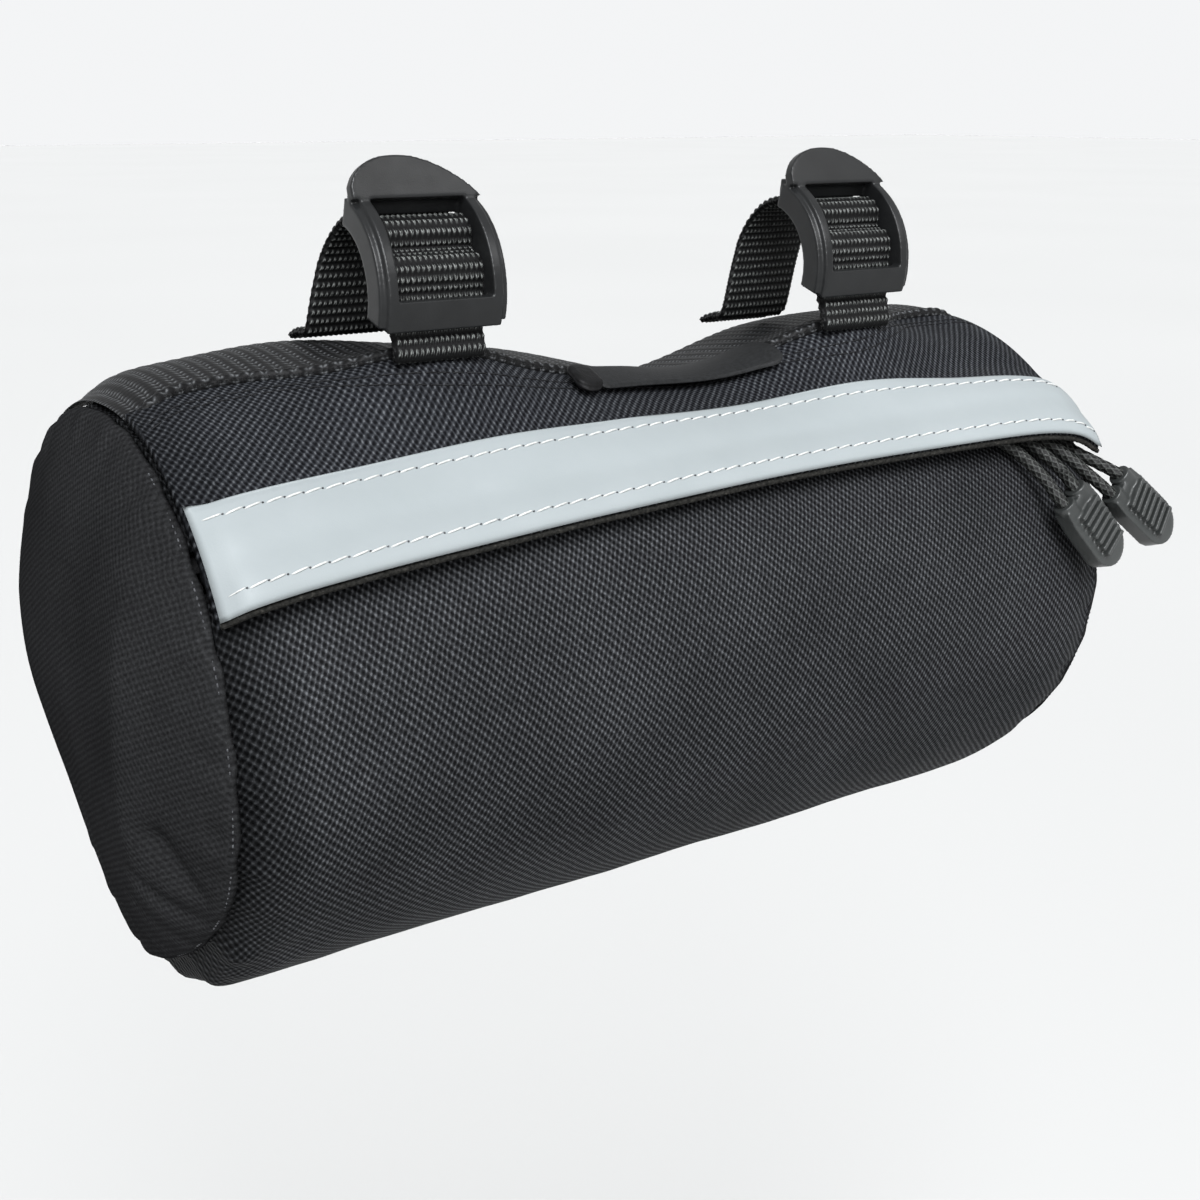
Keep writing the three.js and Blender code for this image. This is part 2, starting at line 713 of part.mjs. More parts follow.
// Outline of a slice of a ring about the bar, between two angles and two radii.
function ringSlice(low, high, inner, outer, steps) {
  const angles = Array.from({ length: steps + 1 }, (_, i) => THREE.MathUtils.lerp(low, high, i / steps));
  const outside = angles.map((angle) => onBar(angle, outer));
  const inside = angles.map((angle) => onBar(angle, inner)).reverse();
  return [...outside, ...inside];
}

// Thumb tab: a tilted plate on the buckle's top, rounded, with its peak nearer the left side.
function thumbTab(centre) {
  const outline = new THREE.Shape();
  outline.moveTo(-halfBuckle, 0);
  outline.lineTo(-halfBuckle, thumbHeight * 0.3);
  outline.quadraticCurveTo(-halfBuckle * 0.85, thumbHeight, -halfBuckle * 0.25, thumbHeight);
  outline.bezierCurveTo(halfBuckle * 0.2, thumbHeight, halfBuckle * 0.7, thumbHeight * 0.55, halfBuckle, 0);
  outline.closePath();
  const plate = new THREE.ExtrudeGeometry(outline, {
    depth: thumbThickness - 2 * edgeRound,
    bevelThickness: edgeRound,
    bevelSize: edgeRound,
    bevelOffset: -edgeRound,
    bevelSegments: 1,
    curveSegments: 5,
  });
  const seat = onBar(thumbSeat, buckleOuter - thumbThickness / 2);
  const up = onBar(180 - thumbTilt, 1);
  const back = onBar(90 - thumbTilt, 1);
  const turn = new THREE.Matrix4().makeBasis(
    new THREE.Vector3(1, 0, 0),
    new THREE.Vector3(0, up.x, up.y),
    new THREE.Vector3(0, back.x, back.y),
  );
  turn.setPosition(centre, seat.x, seat.y);
  return plate.applyMatrix4(turn);
}

// Buckle: two side rails that hug the bar, a wide bottom bar, a top bar with the thumb tab,
// and two round cross bars that the strap humps over.
function buckle(centre) {
  const railStart = strapWidth / 2 + clearance;
  const rails = [-1, 1].map((side) => {
    const edges = [side * railStart, side * halfBuckle].sort((a, b) => a - b);
    const outline = ringSlice(railBottom, railTop, buckleFloor, buckleOuter, 7);
    return alongX(outline, centre + edges[0], centre + edges[1], edgeRound);
  });
  const overlap = railStart + railWidth / 2;
  const strapTop = buckleFloor + strapThickness + clearance;
  const bar = (low, high, inner, outer) =>
    alongX(ringSlice(low, high, inner, outer, 3), centre - overlap, centre + overlap);
  const tabTop = handlebarRadius + 2 * clearance + tabThickness + tabTurnRoom;
  const bottomBar = bar(railBottom, bottomBarTop, tabTop, buckleOuter);
  const topBar = bar(railTop - topBarTurn / 3, railTop + topBarTurn, strapTop, buckleOuter - edgeRound);
  const crossBars = crossBarAngles.map((angle) => {
    const rod = new THREE.CylinderGeometry(crossBarRadius, crossBarRadius, 2 * overlap, 8);
    const middle = onBar(angle, handlebarRadius + clearance + crossBarRadius);
    return rod.rotateZ(Math.PI / 2).translate(centre, middle.x, middle.y);
  });
  return joined([...rails, bottomBar, topBar, ...crossBars, thumbTab(centre)]);
}

addPiece('main_panel', mainPanel(), nylon);
addPiece('end_panel_left', endPanel(-1), nylon);
addPiece('end_panel_right', endPanel(1), nylon);
addPiece('flap', flap(), nylon);
addPiece('reflective_strip', reflectiveStrip(), reflective);
addPiece('zip_tape_upper', zipTape(1), darkTape);
addPiece('zip_tape_lower', zipTape(-1), darkTape);
addPiece('zip_teeth', zipTeeth(), darkTape);
for (const [place, x] of Object.entries(sliderPlaces)) {
  addPiece(`zip_slider_${place}`, zipSlider(x), zinc);
  addPiece(`pull_cord_${place}`, pullCord(place), braid);
  addPiece(`pull_end_${place}`, pullEnd(pullPlaces[place]), plastic);
}
addPiece('top_webbing', topWebbing(), webbing);
addPiece('label_tab', labelTab(), labelCloth);
for (const [side, centre] of Object.entries(strapCentres)) {
  addPiece(`strap_${side}`, strap(centre), webbing);
  addPiece(`strap_tab_${side}`, strapTab(centre), webbing);
  addPiece(`buckle_${side}`, buckle(centre), plastic);
}

export default group;
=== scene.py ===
import math

import bmesh
import bpy
import numpy as np
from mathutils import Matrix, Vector, noise


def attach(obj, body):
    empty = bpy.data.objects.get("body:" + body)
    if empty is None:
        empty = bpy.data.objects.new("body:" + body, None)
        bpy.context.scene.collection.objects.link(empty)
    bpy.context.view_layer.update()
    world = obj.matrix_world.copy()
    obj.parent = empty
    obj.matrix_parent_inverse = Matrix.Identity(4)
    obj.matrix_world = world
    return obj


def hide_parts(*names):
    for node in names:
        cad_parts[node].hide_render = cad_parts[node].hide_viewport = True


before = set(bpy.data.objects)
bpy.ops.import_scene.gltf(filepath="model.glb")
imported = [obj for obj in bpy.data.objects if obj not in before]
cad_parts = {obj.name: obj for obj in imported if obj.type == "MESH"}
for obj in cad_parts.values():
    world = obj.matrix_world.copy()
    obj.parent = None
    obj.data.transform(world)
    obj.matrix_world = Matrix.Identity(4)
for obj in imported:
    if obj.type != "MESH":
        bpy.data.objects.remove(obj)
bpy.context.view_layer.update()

MM = 0.001

# Sizes in millimetres and angles in degrees, as in the part's source.
BAR_R = 11.1
BAG_R = 54.0
HALF = 98.5
SET_BACK = 13.2
DROP = 70.4
CLOTH = 1.5
CLEAR = 0.3
BAND_CLEAR = 0.85
STRAP_X = {"left": -47.8, "right": 47.8}
SIDE_NAMES = {-1: "left", 1: "right"}
LIFT, LIFT_REACH, LIFT_ANGLE, LIFT_SPREAD = 8.6, 21.0, 67.0, 10.5
SAG, SAG_X, SAG_REACH, SAG_ANGLE, SAG_SPREAD = 10.5, 16.0, 26.0, 98.0, 32.0
BACK_LIFT, BACK_X, BACK_REACH, BACK_ANGLE, BACK_SPREAD = 3.0, -62.0, 22.0, 98.0, 17.0
PINCH, PINCH_REACH = 1.4, 4.0
GATHER_REACH = 8.0
FLAP_STAND, FLAP_EDGE_STAND, FLAP_SEAM, SLIDER_ROOM, SLIDER_REACH = 1.2, 1.4, 4.0, 2.7, 24.0
ZIP_RISE, MOUTH_W, MOUTH_RECESS, MOUTH_SPREAD = 9.5, 9.0, 2.0, 7.0
TAPE_W, TAPE_T, TEETH_W, TEETH_T = 5.0, 1.0, 3.4, 1.8
SLIDER_X = {"front": HALF - 23.0, "back": HALF - 10.0}
SLIDER_L, SLIDER_T, ARCH_L = 9.0, 1.4, 2.2
CORD_D = 2.6
BRAID_STRANDS, BRAID_PITCH, BRAID_RELIEF, BRAID_SINK = 7, 2.2, 0.11, 0.08
PULL_W, PULL_T, PULL_L, PULL_NECK, STRANDS = 10.6, 6.4, 18.0, 9.6, 5.2
STRIP_W, STRIP_NARROW, STRIP_T, STRIP_INSET, STRIP_LIP = 19.0, 3.0, 1.0, 1.3, 0.7
WEB_W, WEB_T = 38.0, 2.2
LABEL_ENDS, LABEL_FRONT, LABEL_BACK, LABEL_T = (-15.0, 30.0), 8.5, 6.0, 1.0
STRAP_W, STRAP_T, STRAP_FOOT, STRAP_LEAN, TAB_T = 17.6, 1.6, 9.0, 3.6, 2.6
RAIL_W, RAIL_D, RAIL_BOTTOM, RAIL_TOP = 3.2, 5.6, -20.0, 72.0
BULGE, RIDGE_H, RIDGE_BACK, RIDGE_SPREAD = 9.0, 3.6, -18.0, 11.0
LOW_FALL, LOW_FALL_ANGLE, LOW_FALL_SPREAD = 0.6, -120.0, 45.0

# Edges of the flap and the wide webbing: share of the half length, angle on the bag
FLAP_EDGE = [(-1.0, 27.8), (-0.84, 29.8), (-0.5, 32.4), (0.0, 35.2), (0.35, 36.2), (0.72, 35.3),
             (0.9, 33.9), (1.0, 30.8)]
WEB_FRONT = [(-1.0, 74), (-0.9, 78), (-0.76, 78), (-0.62, 71), (-0.5, 68), (-0.38, 68), (-0.2, 70),
             (0.05, 73), (0.25, 72), (0.38, 68), (0.5, 67), (0.62, 71), (0.78, 80), (1.0, 82)]
# Angle on the bag, share of its radius that the rim is drawn in
LEFT_GATHER = [(-200, 0.01), (-180, 0.05), (-160, 0.16), (-140, 0.2), (-120, 0.17), (-102, 0.12),
               (-84, 0.08), (-62, 0.11), (-42, 0.09), (-20, 0.02), (20, 0.0), (60, 0.0), (90, 0.02)]
RIGHT_GATHER = [(-200, 0.0), (-120, 0.03), (-70, 0.05), (-20, 0.03), (20, 0.0), (60, 0.0)]
# Angle on the bar, distance from it in strap thicknesses
STRAP_PATH = [(angle, 0.0) for angle in range(180, 83, -16)] + [
    (70, 0.1), (62, 0.75), (55, 1.35), (49, 1.45), (43, 1.15), (38, 0.3), (33, 0.0), (28, 0.3),
    (23, 1.2), (17, 1.45), (11, 1.3), (5, 1.0), (0, 0.95), (-6, 0.95)]


def bell(offset, spread):
    return np.exp(-((offset / spread) ** 2))


def smooth(x, low, high):
    t = np.clip((x - low) / (high - low), 0, 1)
    return t * t * (3 - 2 * t)


def arc_angle(length):
    return math.degrees(length / BAG_R)


def unwrapped(angle):
    """The same angle between -200 and 160 degrees, where the gather tables have their rows."""
    return (angle + 200.0) % 360.0 - 200.0


def full_turn(count):
    return np.linspace(0, 2 * math.pi, count, endpoint=False)


def running_length(points):
    return np.concatenate([[0], np.cumsum(np.linalg.norm(np.diff(points, axis=0), axis=1))])


def circle(middle, radius, count):
    return [(middle[0] + radius * math.cos(t), middle[1] + radius * math.sin(t)) for t in full_turn(count)]


def along(table, place):
    """One value of a table at any place, on a smooth curve through its rows."""
    keys, values = np.array(table, float).T
    p = np.clip(np.asarray(place, float), keys[0], keys[-1])
    up = np.clip(np.searchsorted(keys, p), 1, len(keys) - 1)
    lo = up - 1
    be, af = np.maximum(lo - 1, 0), np.minimum(up + 1, len(keys) - 1)
    span = keys[up] - keys[lo]
    s0 = (values[up] - values[be]) / (keys[up] - keys[be]) * span
    s1 = (values[af] - values[lo]) / (keys[af] - keys[lo]) * span
    t = (p - keys[lo]) / span
    return ((2 * t**3 - 3 * t**2 + 1) * values[lo] + (t**3 - 2 * t**2 + t) * s0
            + (3 * t**2 - 2 * t**3) * values[up] + (t**3 - t**2) * s1)


def on_bag(x, angle, radius):
    a = np.radians(angle)
    x, y, z = np.broadcast_arrays(x, SET_BACK - radius * np.cos(a), -DROP + radius * np.sin(a))
    return np.stack([x, y, z], axis=-1)


def outward(angle):
    return on_bag(0.0, angle, 1.0) - on_bag(0.0, angle, 0.0)


def on_bar(angle, radius):
    a = np.radians(angle)
    return np.array([-radius * np.cos(a), radius * np.sin(a)])


def body_radius(x, angle):
    x, angle = np.broadcast_arrays(np.asarray(x, float), np.asarray(angle, float))
    turned = unwrapped(angle)
    straps = sum(bell(x - c, LIFT_REACH) for c in STRAP_X.values())
    lift = LIFT * straps * bell(turned - LIFT_ANGLE, LIFT_SPREAD)
    sag = SAG * bell(x - SAG_X, SAG_REACH) * bell(turned - SAG_ANGLE, SAG_SPREAD)
    behind = BACK_LIFT * bell(x - BACK_X, BACK_REACH) * bell(turned - BACK_ANGLE, BACK_SPREAD)
    from_end = HALF - np.abs(x)
    drawn = np.where(x < 0, along(LEFT_GATHER, turned), along(RIGHT_GATHER, turned))
    drawn = BAG_R * drawn * bell(from_end, GATHER_REACH)
    return BAG_R + lift + behind - sag - drawn - PINCH * bell(from_end, PINCH_REACH)


def flap_edge(x):
    return along(FLAP_EDGE, np.asarray(x) / HALF)


def zip_angle(x):
    return flap_edge(x) + arc_angle(ZIP_RISE)


def web_front(x):
    return along(WEB_FRONT, np.asarray(x) / HALF)


def mouth_radius(x, angle):
    return body_radius(x, angle) - MOUTH_RECESS * bell(angle - zip_angle(x), MOUTH_SPREAD)


def flap_inner(x, angle):
    za = zip_angle(x)
    below = smooth(za + 2 * MOUTH_SPREAD - angle, 0, 2 * MOUTH_SPREAD)
    edge = smooth(za - angle, 0, MOUTH_SPREAD)
    middle = sum(SLIDER_X.values()) / 2
    stand = FLAP_STAND + SLIDER_ROOM * bell(x - middle, SLIDER_REACH)
    seam = smooth(x, -HALF, FLAP_SEAM - HALF)
    return body_radius(x, angle) + BAND_CLEAR + (stand * below + FLAP_EDGE_STAND * edge) * seam


def flap_outer(x, angle):
    return flap_inner(x, angle) + CLOTH


def web_top(x, angle):
    return body_radius(x, angle) + BAND_CLEAR + WEB_T


def ripple(points, scale, amount, seed=0.0):
    """Soft unevenness of cloth at each point, in millimetres."""
    flat = points.reshape(-1, 3)
    values = [noise.noise(Vector((p[0] / scale + seed, p[1] / scale, p[2] / scale))) for p in flat]
    return amount * np.array(values).reshape(points.shape[:-1])


# Meshes

def make_object(name, vertices, faces, look, uv=None):
    mesh = bpy.data.meshes.new(name)
    mesh.from_pydata((np.asarray(vertices) * MM).tolist(), [], faces)
    if uv is not None:
        layer = mesh.uv_layers.new(name="cloth")
        loops = np.zeros(len(mesh.loops), np.int32)
        mesh.loops.foreach_get("vertex_index", loops)
        layer.data.foreach_set("uv", (np.asarray(uv)[loops] * MM).astype(np.float32).ravel())
    work = bmesh.new()
    work.from_mesh(mesh)
    bmesh.ops.recalc_face_normals(work, faces=work.faces)
    work.to_mesh(mesh)
    work.free()
    mesh.shade_smooth()
    mesh.materials.append(look.material)
    piece = bpy.data.objects.new(name, mesh)
    bpy.context.scene.collection.objects.link(piece)
    return piece


def grid_faces(nu, nv, start=0, flip=False, wrap=False):
    faces = []
    for i in range(nu - 1):
        for j in range(nv if wrap else nv - 1):
            k = (j + 1) % nv
            near, far = start + i * nv, start + (i + 1) * nv
            quad = (near + j, far + j, far + k, near + k)
            faces.append(quad[::-1] if flip else quad)
    return faces


def tube_faces(rings, sides, start=0):
    """Faces of a tube that is closed at both ends."""
    last = start + (rings - 1) * sides
    caps = [tuple(range(start, start + sides))[::-1], tuple(range(last, last + sides))]
    return grid_faces(rings, sides, start, wrap=True) + caps


def shell(name, outer, inner, uv, look):
    """A closed sheet between two grids of points, which meet along a strip at the edges."""
    nu, nv = outer.shape[:2]
    vertices = np.concatenate([outer.reshape(-1, 3), inner.reshape(-1, 3)])
    count = nu * nv
    faces = grid_faces(nu, nv) + grid_faces(nu, nv, count, flip=True)
    rim = [i * nv for i in range(nu)] + [(nu - 1) * nv + j for j in range(1, nv)]
    rim += [i * nv + nv - 1 for i in range(nu - 2, -1, -1)] + [j for j in range(nv - 2, 0, -1)]
    for a, b in zip(rim, rim[1:] + rim[:1]):
        faces.append((a, b, b + count, a + count))
    both = np.concatenate([uv.reshape(-1, 2), uv.reshape(-1, 2)])
    return make_object(name, vertices, faces, look, both)


def rounded(share_from_edge, edge, thickness):
    """How far a face drops towards the middle of the sheet near an edge, for a rounded rim."""
    t = np.clip(share_from_edge / edge, 0, 1)
    return thickness / 2 * (1 - np.sqrt(1 - (1 - t) ** 2))


def tube(name, slot, look, points, radius, sides, displace, *nodes):
    """A piece that is a closed tube along a path, with its surface displaced."""
    tangents = np.gradient(points, axis=0)
    tangents /= np.linalg.norm(tangents, axis=1)[:, None]
    normal = np.cross(tangents[0], (0.3, 0.2, 1.0))
    normal /= np.linalg.norm(normal)
    length = running_length(points)
    rings = []
    turn = full_turn(sides)
    for p, t, s in zip(points, tangents, length):
        normal = normal - t * normal.dot(t)
        normal /= np.linalg.norm(normal)
        side = np.cross(t, normal)
        r = radius + displace(s, turn)
        rings.append(p + np.outer(np.cos(turn) * r, normal) + np.outer(np.sin(turn) * r, side))
    uv = np.stack([np.repeat(length, sides), np.tile(turn * radius, len(points))], -1)
    faces = tube_faces(len(points), sides)
    return keep(make_object(name, np.concatenate(rings), faces, look, uv), slot, *nodes)


def catmull(points, count):
    """Points on a centripetal curve through the given ones, evenly spaced."""
    p = np.asarray(points, float)
    p = np.concatenate([[2 * p[0] - p[1]], p, [2 * p[-1] - p[-2]]])
    fine = []
    for i in range(1, len(p) - 2):
        layer = p[i - 1: i + 3]
        knots = np.cumsum([0] + [max(np.linalg.norm(step), 1e-6) ** 0.5 for step in np.diff(layer, axis=0)])
        t = np.linspace(knots[1], knots[2], 24, endpoint=False)[:, None]
        for spans in (((0, 1), (1, 2), (2, 3)), ((0, 2), (1, 3)), ((1, 2),)):
            shares = [(t - knots[low]) / (knots[high] - knots[low]) for low, high in spans]
            layer = [(1 - share) * a + share * b for a, b, share in zip(layer, layer[1:], shares)]
        fine.append(layer[0])
    fine = np.concatenate(fine + [p[-2:-1]])
    length = running_length(fine)
    even = np.linspace(0, length[-1], count)
    return np.stack([np.interp(even, length, fine[:, k]) for k in range(fine.shape[1])], -1)


def prism(outline, low, high, place):
    """A closed solid between two depths, from an outline; place turns (a, b, depth) into a point."""
    n = len(outline)
    points = np.array([place(a, b, d) for d in (low, high) for a, b in outline], float)
    faces = [tuple(range(n))[::-1], tuple(range(n, 2 * n))]
    faces += [(i, (i + 1) % n, (i + 1) % n + n, i + n) for i in range(n)]
    return points, faces


def moulded(name, solids, voxel, look):
    """One moulded piece: solids that run into each other, joined and softened at their edges."""
    vertices, faces = [], []
    for points, sides in solids:
        start = sum(len(v) for v in vertices)
        vertices.append(points)
        faces += [tuple(i + start for i in f) for f in sides]
    piece = make_object(name, np.concatenate(vertices), faces, look)
    remesh = piece.modifiers.new("join", "REMESH")
    remesh.mode = "VOXEL"
    remesh.voxel_size = voxel * MM
    soften = piece.modifiers.new("soften", "SMOOTH")
    soften.factor = 0.5
    soften.iterations = 3
    joined = piece.evaluated_get(bpy.context.evaluated_depsgraph_get())
    mesh = bpy.data.meshes.new_from_object(joined)
    piece.modifiers.clear()
    piece.data = mesh
    mesh.shade_smooth()
    return piece


def keep(piece, slot, *nodes):
    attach(piece, "root")
    if nodes:
        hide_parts(*nodes)
    return piece


# Materials

class Look:
    """A material's node tree, with short ways to add maths, noise and colour."""

    def __init__(self, name, roughness, shine):
        self.material = bpy.data.materials.new(name)
        self.material.use_nodes = True
        self.tree = self.material.node_tree
        self.tree.nodes.clear()
        self.shader = self.add("BsdfPrincipled")
        out = self.add("OutputMaterial")
        self.link(self.shader.outputs[0], out.inputs[0])
        self.shader.inputs["Roughness"].default_value = roughness
        self.shader.inputs["Specular IOR Level"].default_value = shine

    def add(self, kind, **settings):
        node = self.tree.nodes.new("ShaderNode" + kind)
        for key, value in settings.items():
            setattr(node, key, value)
        return node

    def link(self, a, b):
        self.tree.links.new(a, b)

    def math(self, operation, a, b=0.0, c=0.0):
        node = self.add("Math", operation=operation)
        for socket, value in zip(node.inputs, (a, b, c)):
            if isinstance(value, (int, float)):
                socket.default_value = value
            else:
                self.link(value, socket)
        return node.outputs[0]

    def uv(self):
        node = self.add("UVMap", uv_map="cloth")
        split = self.add("SeparateXYZ")
        self.link(node.outputs[0], split.inputs[0])
        return split.outputs[0], split.outputs[1]

    def noise(self, scale, detail=2, roughness=0.55):
        where = self.add("TexCoord").outputs["Object"]
        node = self.add("TexNoise")
        self.link(where, node.inputs["Vector"])
        node.inputs["Scale"].default_value = scale
        node.inputs["Detail"].default_value = detail
        node.inputs["Roughness"].default_value = roughness
        return node.outputs["Fac"]

    def unrest(self, scale, amount, roughness=0.55):
        """Noise that goes as far below zero as above it."""
        return self.math("MULTIPLY", self.math("SUBTRACT", self.noise(scale, 2, roughness), 0.5), amount)

    def from_wave(self, wave):
        """A wave between -1 and 1, brought to between 0 and 1."""
        return self.math("MULTIPLY_ADD", wave, 0.5, 0.5)

    def ramp(self, value, places, colours):
        node = self.add("ValToRGB")
        self.link(value, node.inputs[0])
        elements = node.color_ramp.elements
        while len(elements) < len(places):
            elements.new(0.5)
        for element, place, colour in zip(elements, places, colours):
            element.position = place
            element.color = (*colour, 1.0)
        return node.outputs[0]

    def multiply(self, colour_a, colour_b):
        node = self.add("Mix", data_type="RGBA", blend_type="MULTIPLY")
        node.inputs[0].default_value = 1.0
        self.link(colour_a, node.inputs[6])
        self.link(colour_b, node.inputs[7])
        return node.outputs[2]

    def colour(self, value):
        self.link(value, self.shader.inputs["Base Color"])

    def rough(self, value):
        self.link(value, self.shader.inputs["Roughness"])

    def bump(self, height, distance, strength=1.0):
        node = self.add("Bump")
        node.inputs["Strength"].default_value = strength
        node.inputs["Distance"].default_value = distance
        self.link(height, node.inputs["Height"])
        last = self.shader.inputs["Normal"]
        if last.is_linked:
            self.link(last.links[0].from_socket, node.inputs["Normal"])
        self.link(node.outputs[0], last)


# How far from the left seam the painted shade darkens the cloth, in millimetres
SEAM_SHADE = 13.0


def greys(*levels):
    return [(level, level, level) for level in levels]


def shades(*colours):
    """Colours from thousandths of red, green and blue."""
    return [tuple(part / 1000 for part in colour) for colour in colours]


def woven(name, rows, dots, colours, roughness, relief, plain=0.0, seam=1.0, shine=0.025):
    """Cloth of thick threads: slanting rows with painted shade in the pits and painted highlights on top.

    rows and dots are waves per millimetre along and round the bag. plain is how far the rows are
    lost in even cloth, and seam is how light the cloth stays under the painted shade at the left seam.
    """
    look = Look(name, roughness, shine)
    u, v = look.uv()

    def wave(per_mm, unrest, scale):
        turn = [2 * math.pi * k / MM for k in per_mm]
        phase = look.math("MULTIPLY_ADD", v, turn[1], look.math("MULTIPLY", u, turn[0]))
        return look.from_wave(look.math("COSINE", look.math("ADD", phase, look.unrest(scale, unrest))))

    row = wave(rows, unrest=2.8, scale=170)
    dot = wave(dots, unrest=4.2, scale=460)
    pits = look.math("SUBTRACT", 1.0, row)
    pits = look.math("MULTIPLY", pits, look.math("MULTIPLY_ADD", dot, 0.6, 0.4))
    height = look.math("SUBTRACT", 1.0, pits)
    height = look.math("MULTIPLY", height, look.math("MULTIPLY_ADD", dot, -0.36, 1.0))
    height = look.math("MULTIPLY_ADD", height, 1 - plain, 0.45 * plain)
    threads = look.math("ADD", height, look.unrest(2400, 0.9, roughness=0.6))
    # Colour follows thread height: painted shade in the pits, painted highlights and glints on the thread
    # tops
    threads = look.ramp(threads, (0.1, 0.5, 0.85, 1.0), colours)
    weave_shading_and_wear = look.multiply(threads, look.ramp(look.noise(30, 4), (0.35, 0.68), greys(0.7, 1.0)))
    # Painted shade: the colour is darkened towards the left seam, down to seam at the seam itself
    from_seam = look.math("MULTIPLY_ADD", u, 1 / (SEAM_SHADE * MM), HALF / SEAM_SHADE)
    look.colour(look.multiply(weave_shading_and_wear, look.ramp(from_seam, (0.05, 0.95), greys(seam, 1.0))))
    look.rough(look.math("MULTIPLY_ADD", height, -0.15, roughness + 0.08))
    look.bump(height, relief)
    return look


def moulded_plastic(name, colours, roughness, shine):
    """Satin plastic with a fine grain, a little cloudy in colour and gloss."""
    look = Look(name, roughness, shine)
    look.colour(look.ramp(look.noise(120, 4), (0.3, 0.75), colours))
    grain = look.noise(5200, 2, 0.5)
    look.rough(look.math("ADD", look.math("MULTIPLY", look.noise(420, 3), 0.16), roughness - 0.08))
    look.bump(grain, 0.00004, 0.5)
    return look


# seam: how light each cloth stays under the painted shade at its left seam
body_cloth = woven(
    "ballistic_nylon", (0.58, -0.58), (1.02, 0.44),
    shades((4.4, 4.5, 5), (15.8, 16.4, 17.9), (40, 41.5, 44.6), (88, 92, 98)), 0.6, 0.0003, seam=0.3)
flap_cloth = woven(
    "flap_nylon", (0.6, 0.6), (1.02, -0.5),
    shades((4.4, 4.6, 5.5), (14.5, 15.5, 18.2), (37.2, 39.5, 44.5), (88, 93, 100)), 0.56, 0.0003, seam=0.6)
end_cloth = woven(
    "end_nylon", (0.42, 0.86), (0.9, -0.6),
    shades((8, 8, 8.4), (16.5, 16.7, 17.4), (30, 30.6, 32), (55, 56, 59)), 0.7, 0.0001, plain=0.6, shine=0.0)


# Rows and seeds of the narrow and of the wide webbing: millimetres from one to the next
STRAP_ROW, STRAP_SEED = 1.6, 1.02
WIDE_ROW, WIDE_SEED = 1.35, 2.6


def webbing_look(name, row, seed, colours):
    """Woven strap: crosswise rows of small pointed seeds of lighter thread on a dark ground."""
    look = Look(name, 0.55, 0.14)
    look.shader.inputs["Sheen Weight"].default_value = 0.02
    look.shader.inputs["Sheen Roughness"].default_value = 0.4
    u, v = look.uv()
    share = look.math("FRACT", look.math("MULTIPLY_ADD", v, 1 / (row * MM), 0.5))
    within = look.math("SINE", look.math("MULTIPLY", share, math.pi))
    spread = look.math("MULTIPLY_ADD", share, -1.9, 1.9)
    place = look.math("MULTIPLY", u, 2 * math.pi / (seed * MM))
    place = look.math("ADD", place, look.unrest(500, 1.4))
    strokes = [look.math("COSINE", look.math(turn, place, spread)) for turn in ("ADD", "SUBTRACT")]
    seeds = look.from_wave(look.math("MAXIMUM", *strokes))
    seeds = look.math("MULTIPLY", look.math("POWER", seeds, 3.0), within)
    thread = look.math("ADD", seeds, look.unrest(1900, 0.9))
    look.colour(look.ramp(thread, (0.1, 0.5, 0.8, 1.0), colours))
    look.bump(look.math("ADD", seeds, look.math("MULTIPLY", look.noise(4200), 0.3)), 0.0001)
    return look


strap_look = webbing_look(
    "strap_webbing", STRAP_ROW, STRAP_SEED,
    shades((1.8, 1.8, 2), (5.4, 5.7, 5.7), (42, 44.4, 42.6), (162, 168, 162)))
wide_look = webbing_look(
    "wide_webbing", WIDE_ROW, WIDE_SEED,
    shades((3, 3, 3.3), (8.4, 8.7, 9.3), (28.8, 30, 31.8), (78, 81, 84)))

strip_look = Look("reflective_cloth", 0.5, 0.3)
strip_look.colour(strip_look.ramp(strip_look.noise(60, 5), (0.25, 0.7),
                                  shades((217, 240, 246), (239, 261, 268))))
strip_look.bump(strip_look.noise(3400), 0.00003, 0.6)
strip_look.bump(strip_look.noise(90, 3), 0.0004, 0.25)
strip_look.rough(strip_look.math("MULTIPLY_ADD", strip_look.noise(300, 3), 0.2, 0.46))


def plain_cloth(name, places, colours, grain, relief, roughness=0.7, shine=0.12):
    """A cloth, thread or paint whose colour and surface vary with one grain."""
    look = Look(name, roughness, shine)
    look.colour(look.ramp(look.noise(grain, 3), places, colours))
    look.bump(look.noise(grain * 1.8), relief)
    return look


# Grain and relief of the threads
THREAD = (1500, 0.00008)
thread_look = plain_cloth("white_thread", (0.2, 0.7), shades((360, 366, 360), (558, 564, 552)), *THREAD)
grey_thread = plain_cloth("grey_thread", (0.3, 0.75), shades((18, 18.6, 20.4), (102, 105, 111)), *THREAD)
dark_thread = plain_cloth("dark_thread", (0.3, 0.75), shades((3.6, 3.6, 4.2), (18, 18.6, 20.4)), *THREAD)
binding_look = plain_cloth(
    "edge_binding", (0.35, 0.62, 0.85), shades((4.8, 4.8, 4.2), (18, 17.4, 15.6), (66, 63, 54)),
    1700, 0.00025, 0.8)
label_look = plain_cloth(
    "label_tape", (0.3, 0.7), shades((6.6, 6.9, 7.2), (13.2, 13.8, 14.7)), 1300, 0.00006, 0.6, 0.16)
fold_look = plain_cloth("label_fold", (0.3, 0.7), shades((3, 3, 3), (7.2, 7.2, 7.8)), 900, 0.00008, 0.5, 0.1)
tape_look = plain_cloth("zip_tape", (0.3, 0.7), shades((4.8, 4.8, 5.4), (18, 18, 19.2)), 1800, 0.0001)
zinc_look = plain_cloth(
    "painted_zinc", (0.35, 0.75), shades((7.2, 7.2, 7.8), (21, 21, 22.2)), 700, 0.00003, 0.38, 0.6)


